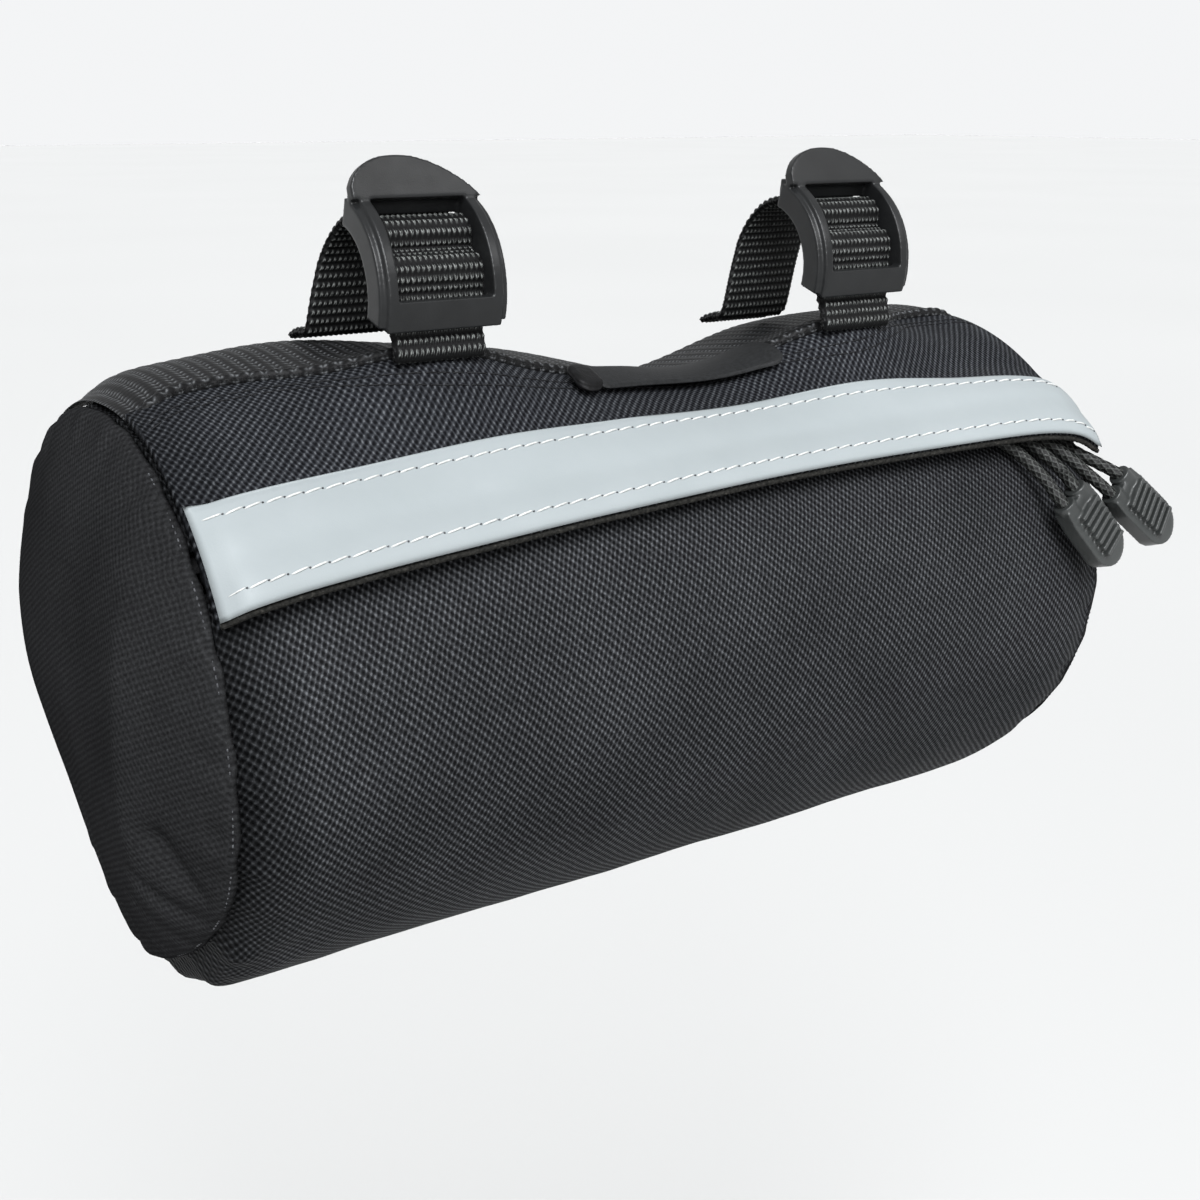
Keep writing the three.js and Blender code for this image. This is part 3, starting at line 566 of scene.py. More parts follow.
def braided_look():
    """Braided cord: the colour follows the strands that the cord's mesh has."""
    look = Look("braided_cord", 0.5, 0.2)
    length, turn = look.uv()
    turn = look.math("MULTIPLY", turn, BRAID_STRANDS / (CORD_D / 2 * MM))
    pitch = 2 * math.pi / (BRAID_PITCH * MM)
    strands = [look.math("COSINE", look.math("MULTIPLY_ADD", length, lean * pitch, turn)) for lean in (1, -1)]
    strands = look.from_wave(look.math("MAXIMUM", *strands))
    colours = shades((2.4, 2.4, 2.4), (12, 12.6, 12), (45, 48, 45))
    look.colour(look.ramp(look.math("ADD", strands, look.unrest(2200, 0.9)), (0.4, 0.9, 1.0), colours))
    look.bump(look.noise(3000), 0.0001)
    return look


braid_look = braided_look()

buckle_look = moulded_plastic("buckle_plastic", shades((7, 7.3, 7.6), (12, 12.5, 13)), 0.34, 0.28)
pull_look = moulded_plastic("pull_plastic", shades((19, 20.6, 20.2), (31, 33.6, 32.8)), 0.38, 0.5)


# Camera, at the photograph's place: metres, degrees, and millimetres for the lens and its sensor
CAMERA_PLACE = (-0.18303, -0.26035, 0.03016)
CAMERA_TILT, CAMERA_TURN = 73.22, -34.35
LENS, SENSOR_W = 48.96, 36.0

camera_data = bpy.data.cameras.new("camera")
camera_data.lens = LENS
camera_data.sensor_width = SENSOR_W
camera_data.clip_start = 0.01
camera = bpy.data.objects.new("camera", camera_data)
camera.location = CAMERA_PLACE
camera.rotation_euler = (math.radians(CAMERA_TILT), 0.0, math.radians(CAMERA_TURN))
bpy.context.scene.collection.objects.link(camera)
bpy.context.scene.camera = camera


# Pull cords: strands from the part's source, with the turn through each slider's eye
def near_right_end(inset, angle, height):
    return on_bag(HALF - inset, angle, BAG_R + height)


# Points of each strand: inset from the right end, angle on the bag, height over its radius
STRANDS_IN = {
    "front": [(12.9, 15.9, 6.3), (14.9, 18.4, 6.4), (17.2, 21.2, 6.7), (18.7, 27.7, 4.5), (22.1, 34.7, 2.9),
              (25.9, 39.2, 2.0), (27.6, 43.2, 1.3)],
    "back": [(-3.2, 17.0, 6.3), (-0.7, 19.2, 6.4), (2.1, 21.6, 6.6), (5.9, 27.4, 4.6), (10.1, 34.1, 2.7),
             (13.1, 38.0, 1.4), (14.8, 41.6, 0.5)],
}
STRANDS_OUT = {
    "front": [(18.8, 42.3, 0.6), (17.7, 38.5, 1.6), (15.7, 34.3, 2.9), (12.9, 28.7, 4.5), (13.1, 24.2, 6.9),
              (10.8, 21.4, 6.5), (8.8, 18.9, 6.1)],
    "back": [(6.1, 40.3, 0.1), (5.5, 37.2, 1.0), (4.3, 33.6, 1.6), (1.1, 28.6, 4.5), (-1.5, 25.2, 6.8),
             (-4.3, 22.8, 6.4), (-6.8, 20.6, 6.3)],
}
# Each pull: where its mouth is, and the direction in which it hangs
PULLS = {
    "front": ((14.7, 22.2, 6.7), (11, -3.6, -14)),
    "back": ((-0.3, 22.9, 6.6), (13.5, -3.6, -12)),
}


def zip_radii(x, angle, thickness, proud):
    outer = body_radius(x, angle) - MOUTH_RECESS - CLOTH - CLEAR + proud
    return outer, outer - thickness


def frame_on_zip(x):
    """Axes along, up and out of the zip at one place, and a point over its teeth."""
    def teeth(place):
        top = zip_radii(place, zip_angle(place), 0, (TEETH_T - TAPE_T) / 2)[0]
        return on_bag(place, zip_angle(place), top + CLEAR)
    along_zip = teeth(x + SLIDER_L / 2) - teeth(x - SLIDER_L / 2)
    along_zip /= np.linalg.norm(along_zip)
    up = np.cross(outward(zip_angle(x)), along_zip)
    up /= np.linalg.norm(up)
    return np.stack([along_zip, up, np.cross(along_zip, up)]), teeth(x)


def cord_route(place):
    """The cord's path from one socket through the slider's eye to the other, and the eye."""
    axes, origin = frame_on_zip(SLIDER_X[place])
    height = SLIDER_T + CORD_D / 2 + 1.5 * CLEAR
    reach = ARCH_L * 1.4
    turn = [origin + np.array((s, low, height)) @ axes
            for s, low in ((-reach, -CORD_D / 2), (0, 0.0), (reach, -CORD_D / 2))]
    way_in, way_out = ([near_right_end(*p) for p in strand[place]] for strand in (STRANDS_IN, STRANDS_OUT))
    return catmull(way_in + turn + way_out, 420), turn[1]


def braid(length, turn):
    """Strands that cross in a diamond pattern round a cord."""
    lean = length * 2 * math.pi / BRAID_PITCH
    strands = np.maximum(np.cos(BRAID_STRANDS * turn + lean), np.cos(BRAID_STRANDS * turn - lean))
    return BRAID_RELIEF * strands - BRAID_SINK


# The pulls: faces that look outward as the bag does at one angle, grip ribs, and two sockets
FACE_ANGLE, PULL_SWELL, PULL_SHOULDER, PULL_RIM = 20, 0.35, 0.22, 1.7
INSET_W, INSET_L, INSET_RIM = 0.86, 0.93, 1.6
RIBS, RIB_START, RIB_PITCH, RIB_HALF, RIB_REACH, RIB_DEPTH = 7, 3.0, 1.72, 0.45, 3.7, 1.9
SOCKET_R, SOCKET_ABOVE, SOCKET_BELOW = 2.35, 0.9, 2.4
PULL_VOXEL, BUCKLE_VOXEL = 0.23, 0.27


def pull_end(place):
    mouth, toward = PULLS[place]
    down = np.array(toward, float)
    down /= np.linalg.norm(down)
    across = np.cross(down, outward(FACE_ANGLE))
    across /= np.linalg.norm(across)
    axes = np.stack([across, down, np.cross(across, down)])
    origin = near_right_end(*mouth)

    def put(a, b, d):
        return origin + np.array((a, b, d)) @ axes

    half, neck = PULL_W / 2, PULL_NECK / 2
    bend = [(half * math.cos(t), PULL_L - half + half * math.sin(t)) for t in np.linspace(0, math.pi, 25)]
    shoulder = PULL_L * PULL_SHOULDER
    outline = [(-neck, 0), (neck, 0), (half, shoulder)] + bend + [(-half, shoulder)]
    inset = [(a * INSET_W, PULL_L / 2 + (b - PULL_L / 2) * INSET_L) for a, b in outline]
    thick = PULL_T / 2 + PULL_SWELL
    solids = [prism(shape, rim - thick, thick - rim, put)
              for shape, rim in ((outline, PULL_RIM), (inset, INSET_RIM))]
    for face in (-1, 1):
        low, high = sorted((face * (thick - RIB_DEPTH), face * thick))
        for rib in range(RIBS):
            middle = RIB_START + rib * RIB_PITCH
            into_bend = max(0.0, (middle - PULL_L + half) / half)
            width = RIB_REACH * math.sqrt(max(0.1, 1 - into_bend**2))
            near, far = middle - RIB_HALF, middle + RIB_HALF
            solids.append(prism([(-width, near), (width, near), (width, far), (-width, far)], low, high, put))
    for side in (-1, 1):
        ring = circle((side * STRANDS / 2, 0.0), SOCKET_R, 24)
        solids.append(prism(ring, -SOCKET_ABOVE, SOCKET_BELOW, lambda a, d, b: put(a, b, d)))
    piece = moulded("pull_tongue_" + place, solids, PULL_VOXEL, pull_look)
    return keep(piece, "plastic", "pull_end_" + place)


for place in ("front", "back"):
    route, eye = cord_route(place)
    tongue = pull_end(place)
    cord = tube("braided_cord_" + place, "cord", braid_look, route, CORD_D / 2, 28, braid,
                "pull_cord_" + place)


# The cloth body
def end_puckers(x, angle):
    """Small radial gathers of cloth beside the sewn ends."""
    waves = np.sin(np.radians(angle) * 23 + 1.0) + 0.6 * np.sin(np.radians(angle) * 41 + 2.0)
    return 0.3 * waves * bell(HALF - np.abs(x) - 2.5, 4.5)


# Folds beside the left seam, low down: depth, angle at the seam, lean, distance from the seam, reach
BODY_FOLDS = [(0.96, -52, 0.9, 3, 13), (0.6, -74, 0.5, 0, 10)]
FOLD_W = 5
# The valley beside the left seam in front, and the roll of cloth over the gathered rim below
VALLEY, VALLEY_X, VALLEY_REACH = 2.6, 0.5, 3.2
ROLL, ROLL_EDGE = 0.88, 1.7


def cloth_body():
    """The cloth wall, from one lip of the mouth round to the other."""
    shares = np.linspace(-1, 1, 150)
    x = HALF * (0.4 * shares + 0.6 * np.sin(shares * math.pi / 2))
    lip = arc_angle(MOUTH_W / 2)
    start, end = zip_angle(x) - lip, zip_angle(x) + lip - 360
    angles = start[:, None] + (end - start)[:, None] * np.linspace(0, 1, 230)[None, :]
    xs = np.broadcast_to(x[:, None], angles.shape)
    radius = mouth_radius(xs, angles)
    base = on_bag(xs, angles, radius)
    radius = radius + ripple(base, 26, 0.55) + ripple(base, 9, 0.16, 5.0) + end_puckers(xs, angles)
    from_seam = xs + HALF
    for depth, place, lean, middle, reach in BODY_FOLDS:
        fold = bell(angles - place - lean * from_seam, FOLD_W) * bell(from_seam - middle, reach)
        radius = radius - depth * fold
    valley = VALLEY * bell(from_seam - VALLEY_X, VALLEY_REACH)
    valley = valley * smooth(angles, -50, -20) * (1 - smooth(angles, 15, 30))
    turned = unwrapped(angles)
    rolled = smooth(turned, -106, -90) * (1 - smooth(turned, -48, -28)) * (xs < 0)
    rolled = rolled * (bell(from_seam, GATHER_REACH) - bell(from_seam, ROLL_EDGE))
    radius = radius - valley + BAG_R * along(LEFT_GATHER, turned) * ROLL * rolled
    arc = np.radians(-angles) * BAG_R
    piece = shell("cloth_body", on_bag(xs, angles, radius), on_bag(xs, angles, radius - CLOTH),
                  np.stack([xs, arc], -1), body_cloth)
    return keep(piece, "nylon", "main_panel")


def to_segment(y, z, start, end):
    """Distance of each point of an end panel from a straight line between two of its points."""
    dy, dz = end[0] - start[0], end[1] - start[1]
    t = np.clip(((y - start[0]) * dy + (z - start[1]) * dz) / (dy * dy + dz * dz), 0, 1)
    return np.hypot(y - start[0] - t * dy, z - start[1] - t * dz)


# Folds of the left end panel, which run together low down at the front: start, end, depth, width
END_FOLDS = [((-24, -82), (-33, -101), 2.4, 2.6), ((-15, -92), (-31, -101), 2.0, 2.2),
             ((-36, -78), (-38, -94), 1.3, 2.2), ((-6, -100), (-22, -108), 0.9, 2.4),
             ((20, -92), (6, -112), 1.2, 3.5)]


def round_end(side):
    rings, spokes = 80, 240
    share = np.linspace(0.004, 1, rings)[:, None] ** 0.85
    angle = np.linspace(-180, 180, spokes, endpoint=False)[None, :]
    rim = side * HALF
    radius = share * body_radius(np.full_like(angle, rim), angle)
    flat = on_bag(0.0, angle, radius)
    y, z = flat[..., 1], flat[..., 2]
    fall = LOW_FALL * share * bell(unwrapped(angle) - LOW_FALL_ANGLE, LOW_FALL_SPREAD) if side < 0 else 0.0
    ridge = RIDGE_H * np.exp(-np.sqrt((y - RIDGE_BACK) ** 2 + 2.0) / RIDGE_SPREAD) * (1 - share**6)
    out = CLEAR + BULGE * (1 - share**3.2) * (1 - fall) + ridge
    points = np.stack([np.full_like(y, rim), y, z], -1)
    wave = ripple(points, 30, 0.9, 3.0 * side) * (1 - share**6)
    if side < 0:
        for start, end, depth, width in END_FOLDS:
            wave = wave - depth * bell(to_segment(y, z, start, end), width) * (1 - share**10)
    waves = np.sin(np.radians(angle) * 27 + 1.7) + 0.5 * np.sin(np.radians(angle) * 47)
    wave = wave + 0.28 * waves * bell((1 - share) * BAG_R - 2, 4)
    outer = np.stack([rim + side * (out + CLOTH + wave), y, z], -1)
    roll = rounded((1 - share) * BAG_R, 1.6, CLOTH) + np.zeros_like(y)
    outer[..., 0] -= side * roll
    inner = outer.copy()
    inner[..., 0] -= side * (CLOTH - roll)
    inner[..., 0] = np.where(side * (inner[..., 0] - rim) < 0.1, rim + side * 0.1, inner[..., 0])
    vertices = np.concatenate([outer.reshape(-1, 3), inner.reshape(-1, 3)])
    count = rings * spokes
    faces = grid_faces(rings, spokes, wrap=True) + grid_faces(rings, spokes, count, flip=True, wrap=True)
    faces += [tuple(range(spokes)), tuple(range(count, count + spokes))[::-1]]
    last = (rings - 1) * spokes
    for j in range(spokes):
        k = (j + 1) % spokes
        faces.append((last + j, last + k, last + k + count, last + j + count))
    uv = np.stack([y, z], -1).reshape(-1, 2)
    uv = np.concatenate([uv, uv])
    piece = make_object("round_end_" + SIDE_NAMES[side], vertices, faces, end_cloth, uv)
    return keep(piece, "nylon", "end_panel_" + SIDE_NAMES[side])


def band(name, slot, node, look, nu, nv, angles, radii,
         ends=(-HALF, HALF), edge=1.0, ends_round=0.0, waver=0.0):
    """A band along the bag between two angles, with rounded long edges."""
    shares = np.linspace(-1, 1, nu)
    middle, half = sum(ends) / 2, (ends[1] - ends[0]) / 2
    x = middle + half * shares
    low, high = angles(x)
    v = np.linspace(0, 1, nv)
    angle = high[:, None] + (low - high)[:, None] * v[None, :]
    xs = np.broadcast_to(x[:, None], angle.shape)
    outer, inner = radii(xs, angle)
    width = np.radians(high - low)[:, None] * BAG_R
    from_edge = np.minimum(v[None, :], 1 - v[None, :]) * width
    drop = rounded(from_edge, edge, outer - inner)
    if ends_round:
        drop = np.maximum(drop, rounded(half - np.abs(xs - middle), ends_round, outer - inner))
    wave = ripple(on_bag(xs, angle, outer), 14, waver) if waver else 0.0
    uv = np.stack([xs, np.radians(-angle) * BAG_R], -1)
    outer, inner = on_bag(xs, angle, outer - drop + wave), on_bag(xs, angle, inner + drop + wave)
    piece = shell(name, outer, inner, uv, look)
    return keep(piece, slot, *([node] if node else []))


def flap_wave(x, angle):
    return ripple(on_bag(x, angle, np.full_like(x, BAG_R)), 22, 0.3, 9.0)


def flap_top(x, angle):
    return flap_outer(x, angle) + flap_wave(x, angle)


cloth_body()
round_end(-1)
round_end(1)

flap = band("flap_cloth", "nylon", "flap", flap_cloth, 170, 44,
            lambda x: (flap_edge(x), web_front(x) + 3.0),
            lambda x, a: (flap_top(x, a), flap_inner(x, a) + flap_wave(x, a)))


def strip_angles(x):
    low = flap_edge(x) + arc_angle(STRIP_INSET - STRIP_LIP)
    width = STRIP_W + STRIP_LIP - STRIP_NARROW * smooth(x, 0, HALF)
    return low, low + np.degrees(width / flap_outer(x, low))


def strip_radii(x, angle):
    inner = flap_top(x, angle) + CLEAR
    return inner + STRIP_T, inner


band("reflective_band", "reflective", "reflective_strip", strip_look, 170, 22,
     strip_angles, strip_radii, edge=0.6, ends_round=0.5)


STITCH_SHARES, STITCH_SIDES = (-0.5, -0.32, 0.0, 0.32, 0.5), 6


def stitches(name, slot, look, places, outs, pitch, length, thickness, lean=0.0, shift=0.0):
    """A row of thread stitches along a line of points, each a small rounded bar that dips at its ends."""
    run = running_length(places)
    turn = full_turn(STITCH_SIDES)

    def at(s, values):
        return np.array([np.interp(s, run, values[:, i]) for i in range(3)])

    vertices, faces = [], []
    for k in range(int(run[-1] / pitch)):
        where = (k + 0.5 + shift) * pitch + 0.05 * math.sin(k * 2.4) * pitch
        faces += tube_faces(len(STITCH_SHARES), STITCH_SIDES, len(vertices) * STITCH_SIDES)
        for share in STITCH_SHARES:
            s = np.clip(where + share * length, 0, run[-1])
            out = at(s, outs)
            out /= np.linalg.norm(out)
            ahead = at(s + 0.2, places) - at(s - 0.2, places)
            ahead /= max(np.linalg.norm(ahead), 1e-9)
            side = np.cross(out, ahead)
            p = at(s, places) + out * thickness * (0.42 - 1.5 * share**2) + side * lean * share
            r = thickness / 2 * (1.0 if abs(share) < 0.4 else 0.55)
            vertices.append(p + np.outer(np.cos(turn) * r, out) + np.outer(np.sin(turn) * r, side))
    piece = make_object(name, np.concatenate(vertices), faces, look)
    return keep(piece, slot)


def line_on(radius_of, angle_of, inset=1.5, count=160):
    """Points of a line along the bag, and the way out of the bag at each."""
    x = np.linspace(inset - HALF, HALF - inset, count)
    angle = angle_of(x)
    return on_bag(x, angle, radius_of(x, angle)), outward(angle)


def across_strip(x, share):
    low, high = strip_angles(x)
    return low + (high - low) * share


STRIP_PITCH = 3.5
for name, share in (("lower", 0.17), ("upper", 0.84)):
    places, outs = line_on(lambda x, a: strip_radii(x, a)[0], lambda x: across_strip(x, share))
    line = (places, outs, STRIP_PITCH)
    stitches("strip_thread_" + name, "reflective", thread_look, *line, 3.0, 0.36, lean=0.4)
    # Small grey thread dots between the stitches: painted shade in the needle holes
    stitches("strip_hole_shade_" + name, "reflective", grey_thread, *line, 0.36, 0.3, shift=0.5)

# The cut edge of the flap below the strip, bound in dark tape
places, outs = line_on(lambda x, a: flap_top(x, a) - 0.45, lambda x: flap_edge(x) + 0.25, 0.4, 420)
tube("flap_binding", "nylon", binding_look, places, 0.52, 14,
     lambda s, t: 0.1 * np.sin(s * 5.2 + 3 * t) * np.cos(2 * t + s))

# Topstitching on the flap, two close rows
for name, back in (("near", 4.2), ("far", 6.0)):
    places, outs = line_on(flap_top, lambda x: web_front(x) - arc_angle(back))
    stitches("flap_thread_" + name, "nylon", dark_thread, places, outs, 2.6, 2.2, 0.3)

# Small light stitches on the rims of the ends
for side, low, high in ((-1, -66, 62), (1, -60, 25)):
    angle = np.linspace(low, high, 200)
    xs = np.full_like(angle, side * (HALF + CLEAR + 0.9))
    rim = body_radius(np.full_like(angle, side * HALF), angle) - 0.35
    places = on_bag(xs, angle, rim)
    outs = outward(angle) + np.array((side * 0.8, 0, 0))
    stitches("seam_thread_" + SIDE_NAMES[side], "nylon", grey_thread, places, outs, 1.25, 0.7, 0.3)

# Zip
near, far = TEETH_W / 2 + CLEAR, TEETH_W / 2 + CLEAR + TAPE_W
for name, low, high in (("upper", near, far), ("lower", -far, -near)):
    band("woven_tape_" + name, "zip_tape", "zip_tape_" + name, tape_look, 120, 8,
         lambda x: (zip_angle(x) + arc_angle(low), zip_angle(x) + arc_angle(high)),
         lambda x, a: zip_radii(x, a, TAPE_T, 0), edge=0.4)


COIL_PITCH, COIL_SIDES = 1.5, 8
# Each loop of the coil: share of the teeth's half width, radius
LOOP = [(-0.12, 0.5), (0.25, 0.75), (0.75, 0.75), (1.0, 0.5)]


def zip_coil():
    """Closed coil teeth: two rows of small loops that meet in the middle."""
    vertices, faces = [], []
    ring = full_turn(COIL_SIDES)
    for k in range(int(2 * HALF / COIL_PITCH) - 1):
        for side in (-1, 1):
            x = -HALF + COIL_PITCH * (k + 1 + side * 0.25)
            angle = zip_angle(x)
            outer, inner = zip_radii(x, angle, TEETH_T, (TEETH_T - TAPE_T) / 2)
            faces += tube_faces(len(LOOP), COIL_SIDES, len(vertices) * COIL_SIDES)
            for share, r in LOOP:
                turn = angle + side * arc_angle(TEETH_W / 2 * share)
                centre = on_bag(x, turn, (outer + inner) / 2)
                up = np.outer(np.cos(ring) * r, outward(turn))
                vertices.append(centre + up + np.outer(np.sin(ring) * r * 0.45, (1.0, 0, 0)))
    piece = make_object("coil_teeth", np.concatenate(vertices), faces, tape_look)
    return keep(piece, "zip_tape", "zip_teeth")


zip_coil()
for place in SLIDER_X:
    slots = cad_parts["zip_slider_" + place].data.materials
    slots.clear()
    slots.append(zinc_look.material)


# Top webbing with its ribs and its thick braided front edge
PLAIT_PITCH = 2.3


def thin_end(x):
    """How much the webbing is pressed flat beside the sewn ends."""
    return 1.8 * bell(HALF - np.abs(x), 5)


def ribbed(x, angle):
    outer = web_top(x, angle) - thin_end(x)
    ribs = 0.16 * np.abs(np.sin(math.pi * x / WIDE_SEED)) - 0.1
    return outer + ribs, web_top(x, angle) - WEB_T


band("wide_webbing", "webbing", "top_webbing", wide_look, 460, 46,
     lambda x: (web_front(x), web_front(x) + arc_angle(WEB_W)), ribbed, edge=0.8, ends_round=1.0)
places, outs = line_on(lambda x, a: web_top(x, a) - thin_end(x) - 0.55,
                       lambda x: web_front(x) + 0.6, 0.6, 900)


def plait(length, turn):
    way = math.pi * length / PLAIT_PITCH
    return 0.26 * np.abs(np.sin(way + turn)) + 0.14 * np.abs(np.sin(way - 2 * turn)) - 0.22


tube("webbing_edge", "webbing", wide_look, places, 1.25, 20, plait)


def label_radii(x, angle):
    inner = np.maximum(web_top(x, angle), flap_outer(x, angle)) + BAND_CLEAR
    return inner + LABEL_T, inner


def rounded_corners(x, ends, low, high, corner):
    """Edge angles of a tape, drawn in at its ends so that its corners are round."""
    to_end = np.clip(np.minimum(x - ends[0], ends[1] - x) / corner, 0, 1)
    drawn = np.degrees(corner * (1 - np.sqrt(1 - (1 - to_end) ** 2)) / BAG_R)
    return low + drawn, high - drawn


def label_back(x):
    """Back edge of the label, which goes behind the webbing's edge away from the fold."""
    behind = arc_angle(LABEL_BACK) * smooth(x, LABEL_ENDS[0] + 1, LABEL_ENDS[0] + 40)
    return web_front(x) + behind - arc_angle(1.0)


def fold_radii(x, angle):
    inner = label_radii(x, angle)[1] - 0.2
    return inner + LABEL_T + 1.1, inner


band("bare_label", "label", "label_tab", label_look, 160, 40,
     lambda x: rounded_corners(x, LABEL_ENDS, web_front(x) - arc_angle(LABEL_FRONT), label_back(x), 3.2),
     label_radii, ends=LABEL_ENDS, edge=0.5, ends_round=0.5, waver=0.12)
FOLD_ENDS = (LABEL_ENDS[0] - 5.0, LABEL_ENDS[0] + 1.6)
band("label_fold", "label", None, fold_look, 50, 34,
     lambda x: rounded_corners(x, FOLD_ENDS, web_front(x) - arc_angle(LABEL_FRONT + 0.6),
                               web_front(x) - arc_angle(1.8), 3.0),
     fold_radii, ends=FOLD_ENDS, edge=1.4, ends_round=1.6)


# Straps
STRAP_STEP, STRAP_MESH_W = 0.29, 0.255


def woven_strap(name, node, path, centre, lean):
    """Webbing that follows a path of Y, Z and thickness, with rows of raised seeds on both faces."""
    route = catmull(path, 2000)
    depth, route = route[:, 2], route[:, :2]
    run = running_length(route)
    s = np.linspace(0, run[-1], int(run[-1] / STRAP_STEP) + 1)
    middle = np.stack([np.interp(s, run, route[:, k]) for k in (0, 1)], -1)
    thickness = np.interp(s, run, depth)[:, None]
    ahead = np.gradient(middle, axis=0)
    ahead /= np.linalg.norm(ahead, axis=1)[:, None]
    out = np.stack([ahead[:, 1], -ahead[:, 0]], -1)
    t = np.linspace(-STRAP_W / 2, STRAP_W / 2, int(STRAP_W / STRAP_MESH_W) + 1)
    x = centre + t[None, :] - lean * (1 - smooth(s / run[-1], 0.1, 0.5))[:, None]
    rows = 0.5 + 0.5 * np.cos(2 * math.pi * s / STRAP_ROW)[:, None]
    seeds = 0.5 + 0.5 * np.cos(2 * math.pi * t / STRAP_SEED)[None, :]
    raised = 0.3 * rows + 0.2 * rows * seeds - 0.3
    edge = np.minimum(STRAP_W / 2 - np.abs(t)[None, :], np.minimum(s, run[-1] - s)[:, None])
    drop = rounded(edge, 0.8, thickness)
    grids = []
    for side in (1, -1):
        height = side * (thickness / 2 + raised - drop)
        y, z = (middle[:, k, None] + out[:, k, None] * height for k in (0, 1))
        grids.append(np.stack([x + np.zeros_like(y), y, z], -1))
    uv = np.stack(np.broadcast_arrays(t[None, :], s[:, None]), -1)
    keep(shell(name, grids[0], grids[1], uv, strap_look), "webbing", node)


def strap_path(centre):
    """From the foot at the back, flat on the wide webbing, up and over the bar into the buckle."""
    flat = BAR_R + CLEAR + STRAP_T / 2
    foot = []
    for share in (1, 0.55, 0.2):
        y = flat + STRAP_FOOT * share
        angle = 90 + math.degrees(math.asin((y - SET_BACK) / BAG_R))
        under = max(float(web_top(centre + k * STRAP_W, angle)) for k in (-0.75, -0.25, 0.5))
        height = under + CLEAR + STRAP_T / 2
        foot.append((y, on_bag(0.0, angle, height)[2] + STRAP_T * (1 - share)))
    path = foot + [tuple(on_bar(angle, flat + out * STRAP_T)) for angle, out in STRAP_PATH]
    return [(y, z, STRAP_T) for y, z in path]


def tab_path(centre):
    """The tab thins out behind the buckle's bottom bar, where the strap's end comes down before it."""
    angle = float(web_front(centre)) - arc_angle(2 * CLEAR + TAB_T / 2)
    surface = float(flap_outer(centre, angle)) + CLEAR
    foot = [(*on_bag(0.0, angle, surface + h)[1:], TAB_T) for h in (0, 1.2)]
    loop = [(-17, TAB_T), (-12, 0.75 * TAB_T), (-6, 0.4 * TAB_T), (0, 0.35 * TAB_T)]
    return foot + [(*on_bar(turn, BAR_R + CLEAR + deep / 2), deep) for turn, deep in loop]


# Buckles
def ring_outline(low, high, inner, outer):
    angles = np.linspace(low, high, 25)
    outside = [tuple(on_bar(a, outer)) for a in angles]
    return outside + [tuple(on_bar(a, inner)) for a in angles[::-1]]


# Side flanges: thickness of the outer step, how far it laps, is turned and is lower
STEP_W, STEP_LAP, STEP_TURN, STEP_DROP = 1.25, 0.3, 2, 0.9
# Bars between the flanges: angles on the bar, room for the webbing below
BOTTOM_BAR_TOP, BOTTOM_BAR_ROOM, TOP_BAR, TOP_BAR_DROP = -2, 0.8, (-10 / 3, 10), 0.5
ROD_ANGLES, ROD_R = (50, 17), 0.85
# Thumb tab: height, thickness, tilt, and the angle on the bar where it stands
THUMB_L, THUMB_T, THUMB_TILT, THUMB_ANGLE = 7.4, 2.2, 72.0, 68


def thumb_outline(half):
    """Outline of the thumb tab, which peaks towards one side."""
    t = np.linspace(0, 1, 14)[:, None]
    a, b, c = np.array([(-half, THUMB_L * 0.3), (-half * 0.85, THUMB_L), (-half * 0.25, THUMB_L)])
    left = (1 - t) ** 2 * a + 2 * t * (1 - t) * b + t**2 * c
    p = np.array([(-half * 0.25, THUMB_L), (half * 0.2, THUMB_L), (half * 0.7, THUMB_L * 0.55), (half, 0)])
    right = (1 - t) ** 3 * p[0] + 3 * t * (1 - t) ** 2 * p[1] + 3 * t**2 * (1 - t) * p[2] + t**3 * p[3]
    outline = [(half, 0), (-half, 0)] + [tuple(q) for q in left] + [tuple(q) for q in right[1:-1]]
    return outline[::-1]


def buckle(side, centre):
    floor = BAR_R + 2 * CLEAR
    outer = floor + RAIL_D
    start = STRAP_W / 2 + CLEAR
    half = start + RAIL_W
    overlap = start + RAIL_W / 2
    solids = []

    def across(low, high, outline):
        low, high = sorted((low, high))
        solids.append(prism(outline, centre + low, centre + high, lambda a, b, d: (d, a, b)))

    for hand in (-1, 1):
        step = hand * (half - STEP_W)
        across(hand * start, step, ring_outline(RAIL_BOTTOM, RAIL_TOP, floor, outer))
        across(step - hand * STEP_LAP, hand * half,
               ring_outline(RAIL_BOTTOM + STEP_TURN, RAIL_TOP + STEP_TURN, floor, outer - STEP_DROP))
    low, high = (RAIL_TOP + turn for turn in TOP_BAR)
    bars = [ring_outline(RAIL_BOTTOM, BOTTOM_BAR_TOP, floor + TAB_T + BOTTOM_BAR_ROOM, outer),
            ring_outline(low, high, floor + STRAP_T + CLEAR, outer - TOP_BAR_DROP)]
    for bar in bars + [circle(on_bar(angle, BAR_R + CLEAR + ROD_R), ROD_R, 16) for angle in ROD_ANGLES]:
        across(-overlap, overlap, bar)
    seat = on_bar(THUMB_ANGLE, outer - THUMB_T / 2)
    up, back = on_bar(180 - THUMB_TILT, 1.0), on_bar(90 - THUMB_TILT, 1.0)
    solids.append(prism(thumb_outline(half), 0.0, THUMB_T,
                        lambda a, b, d: (centre + a, *(seat + up * b + back * d))))
    piece = moulded("moulded_buckle_" + side, solids, BUCKLE_VOXEL, buckle_look)
    return keep(piece, "plastic", "buckle_" + side)


for side, centre in STRAP_X.items():
    woven_strap("woven_strap_" + side, "strap_" + side, strap_path(centre), centre, STRAP_LEAN)
    woven_strap("woven_tab_" + side, "strap_tab_" + side, tab_path(centre), centre, 0.0)
    buckle(side, centre)


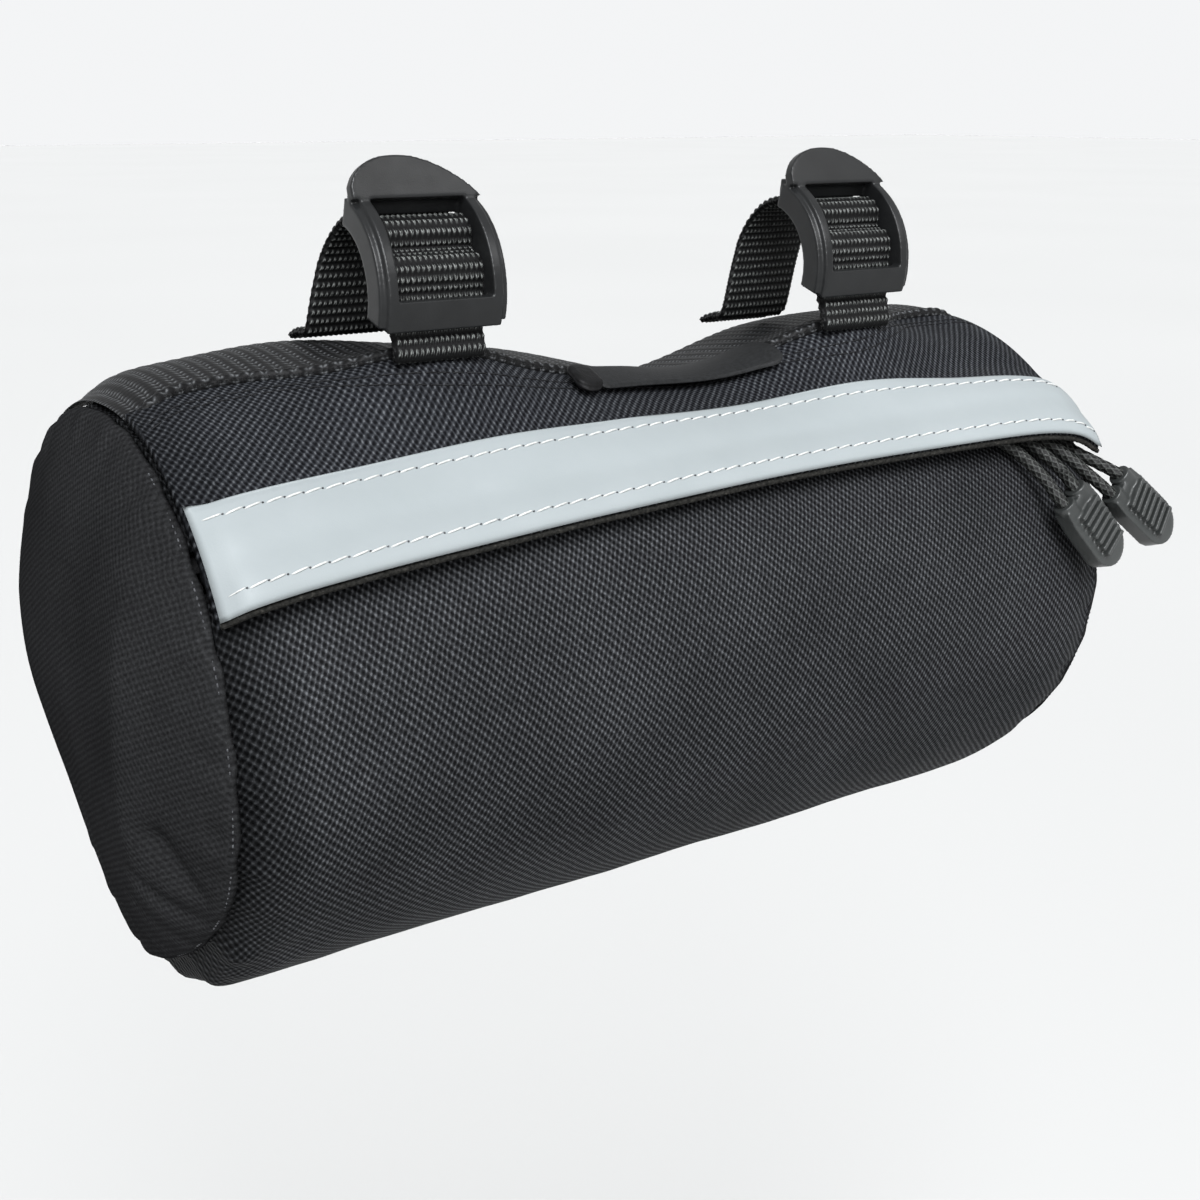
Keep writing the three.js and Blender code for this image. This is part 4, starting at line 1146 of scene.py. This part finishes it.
# Floor, light and background
FLOOR_SIZE, FLOOR_HEIGHT = 60.0, -0.6

floor_look = Look("pale_floor", 0.9, 0.1)
floor_look.colour(floor_look.ramp(floor_look.noise(0.6, 1), (0.3, 0.7),
                                  shades((500, 498, 492), (510, 508, 502))))
bpy.ops.mesh.primitive_plane_add(size=FLOOR_SIZE, location=(0, 0, FLOOR_HEIGHT))
floor = bpy.context.object
floor.name = "floor"
floor.data.materials.append(floor_look.material)


def studio_world():
    """Plain surroundings, pale near the horizon and dimmer above."""
    world = bpy.data.worlds.new("studio")
    world.use_nodes = True
    nodes, links = world.node_tree.nodes, world.node_tree.links
    split = nodes.new("ShaderNodeSeparateXYZ")
    ramp = nodes.new("ShaderNodeValToRGB")
    links.new(nodes.new("ShaderNodeTexCoord").outputs["Generated"], split.inputs[0])
    links.new(split.outputs["Z"], ramp.inputs[0])
    links.new(ramp.outputs[0], nodes["Background"].inputs[0])
    for element, place, level in zip(ramp.color_ramp.elements, (0.06, 0.14), (0.92, 0.6)):
        element.position = place
        element.color = (level * 0.98, level * 0.99, level, 1.0)
    bpy.context.scene.world = world


def lamp(name, kind, power, toward):
    data = bpy.data.lights.new(name, kind)
    data.energy = power
    light = bpy.data.objects.new(name, data)
    light.rotation_euler = Vector(toward).to_track_quat("-Z", "Y").to_euler()
    bpy.context.scene.collection.objects.link(light)
    return light


def softbox(name, place, aim, size, power):
    light = lamp(name, "AREA", power, Vector(aim) - Vector(place))
    light.location = place
    light.data.shape = "RECTANGLE"
    light.data.size, light.data.size_y = size


# Light comes mostly from above and behind the camera: power in watts, for the sun its strength
studio_world()
key = lamp("key", "SUN", 5.7, (0.34, 0.66, -0.67)).data
key.angle = math.radians(38)
key.color = (0.96, 0.98, 1.0)
softbox("sheen", (0.42, -0.62, 0.5), (0, 0, 0), (0.4, 0.3), 1.7)
softbox("front", (-0.2, -0.7, 0.2), (-0.02, -0.04, -0.06), (0.3, 0.3), 0.8)
bpy.context.scene.view_settings.view_transform = "Standard"
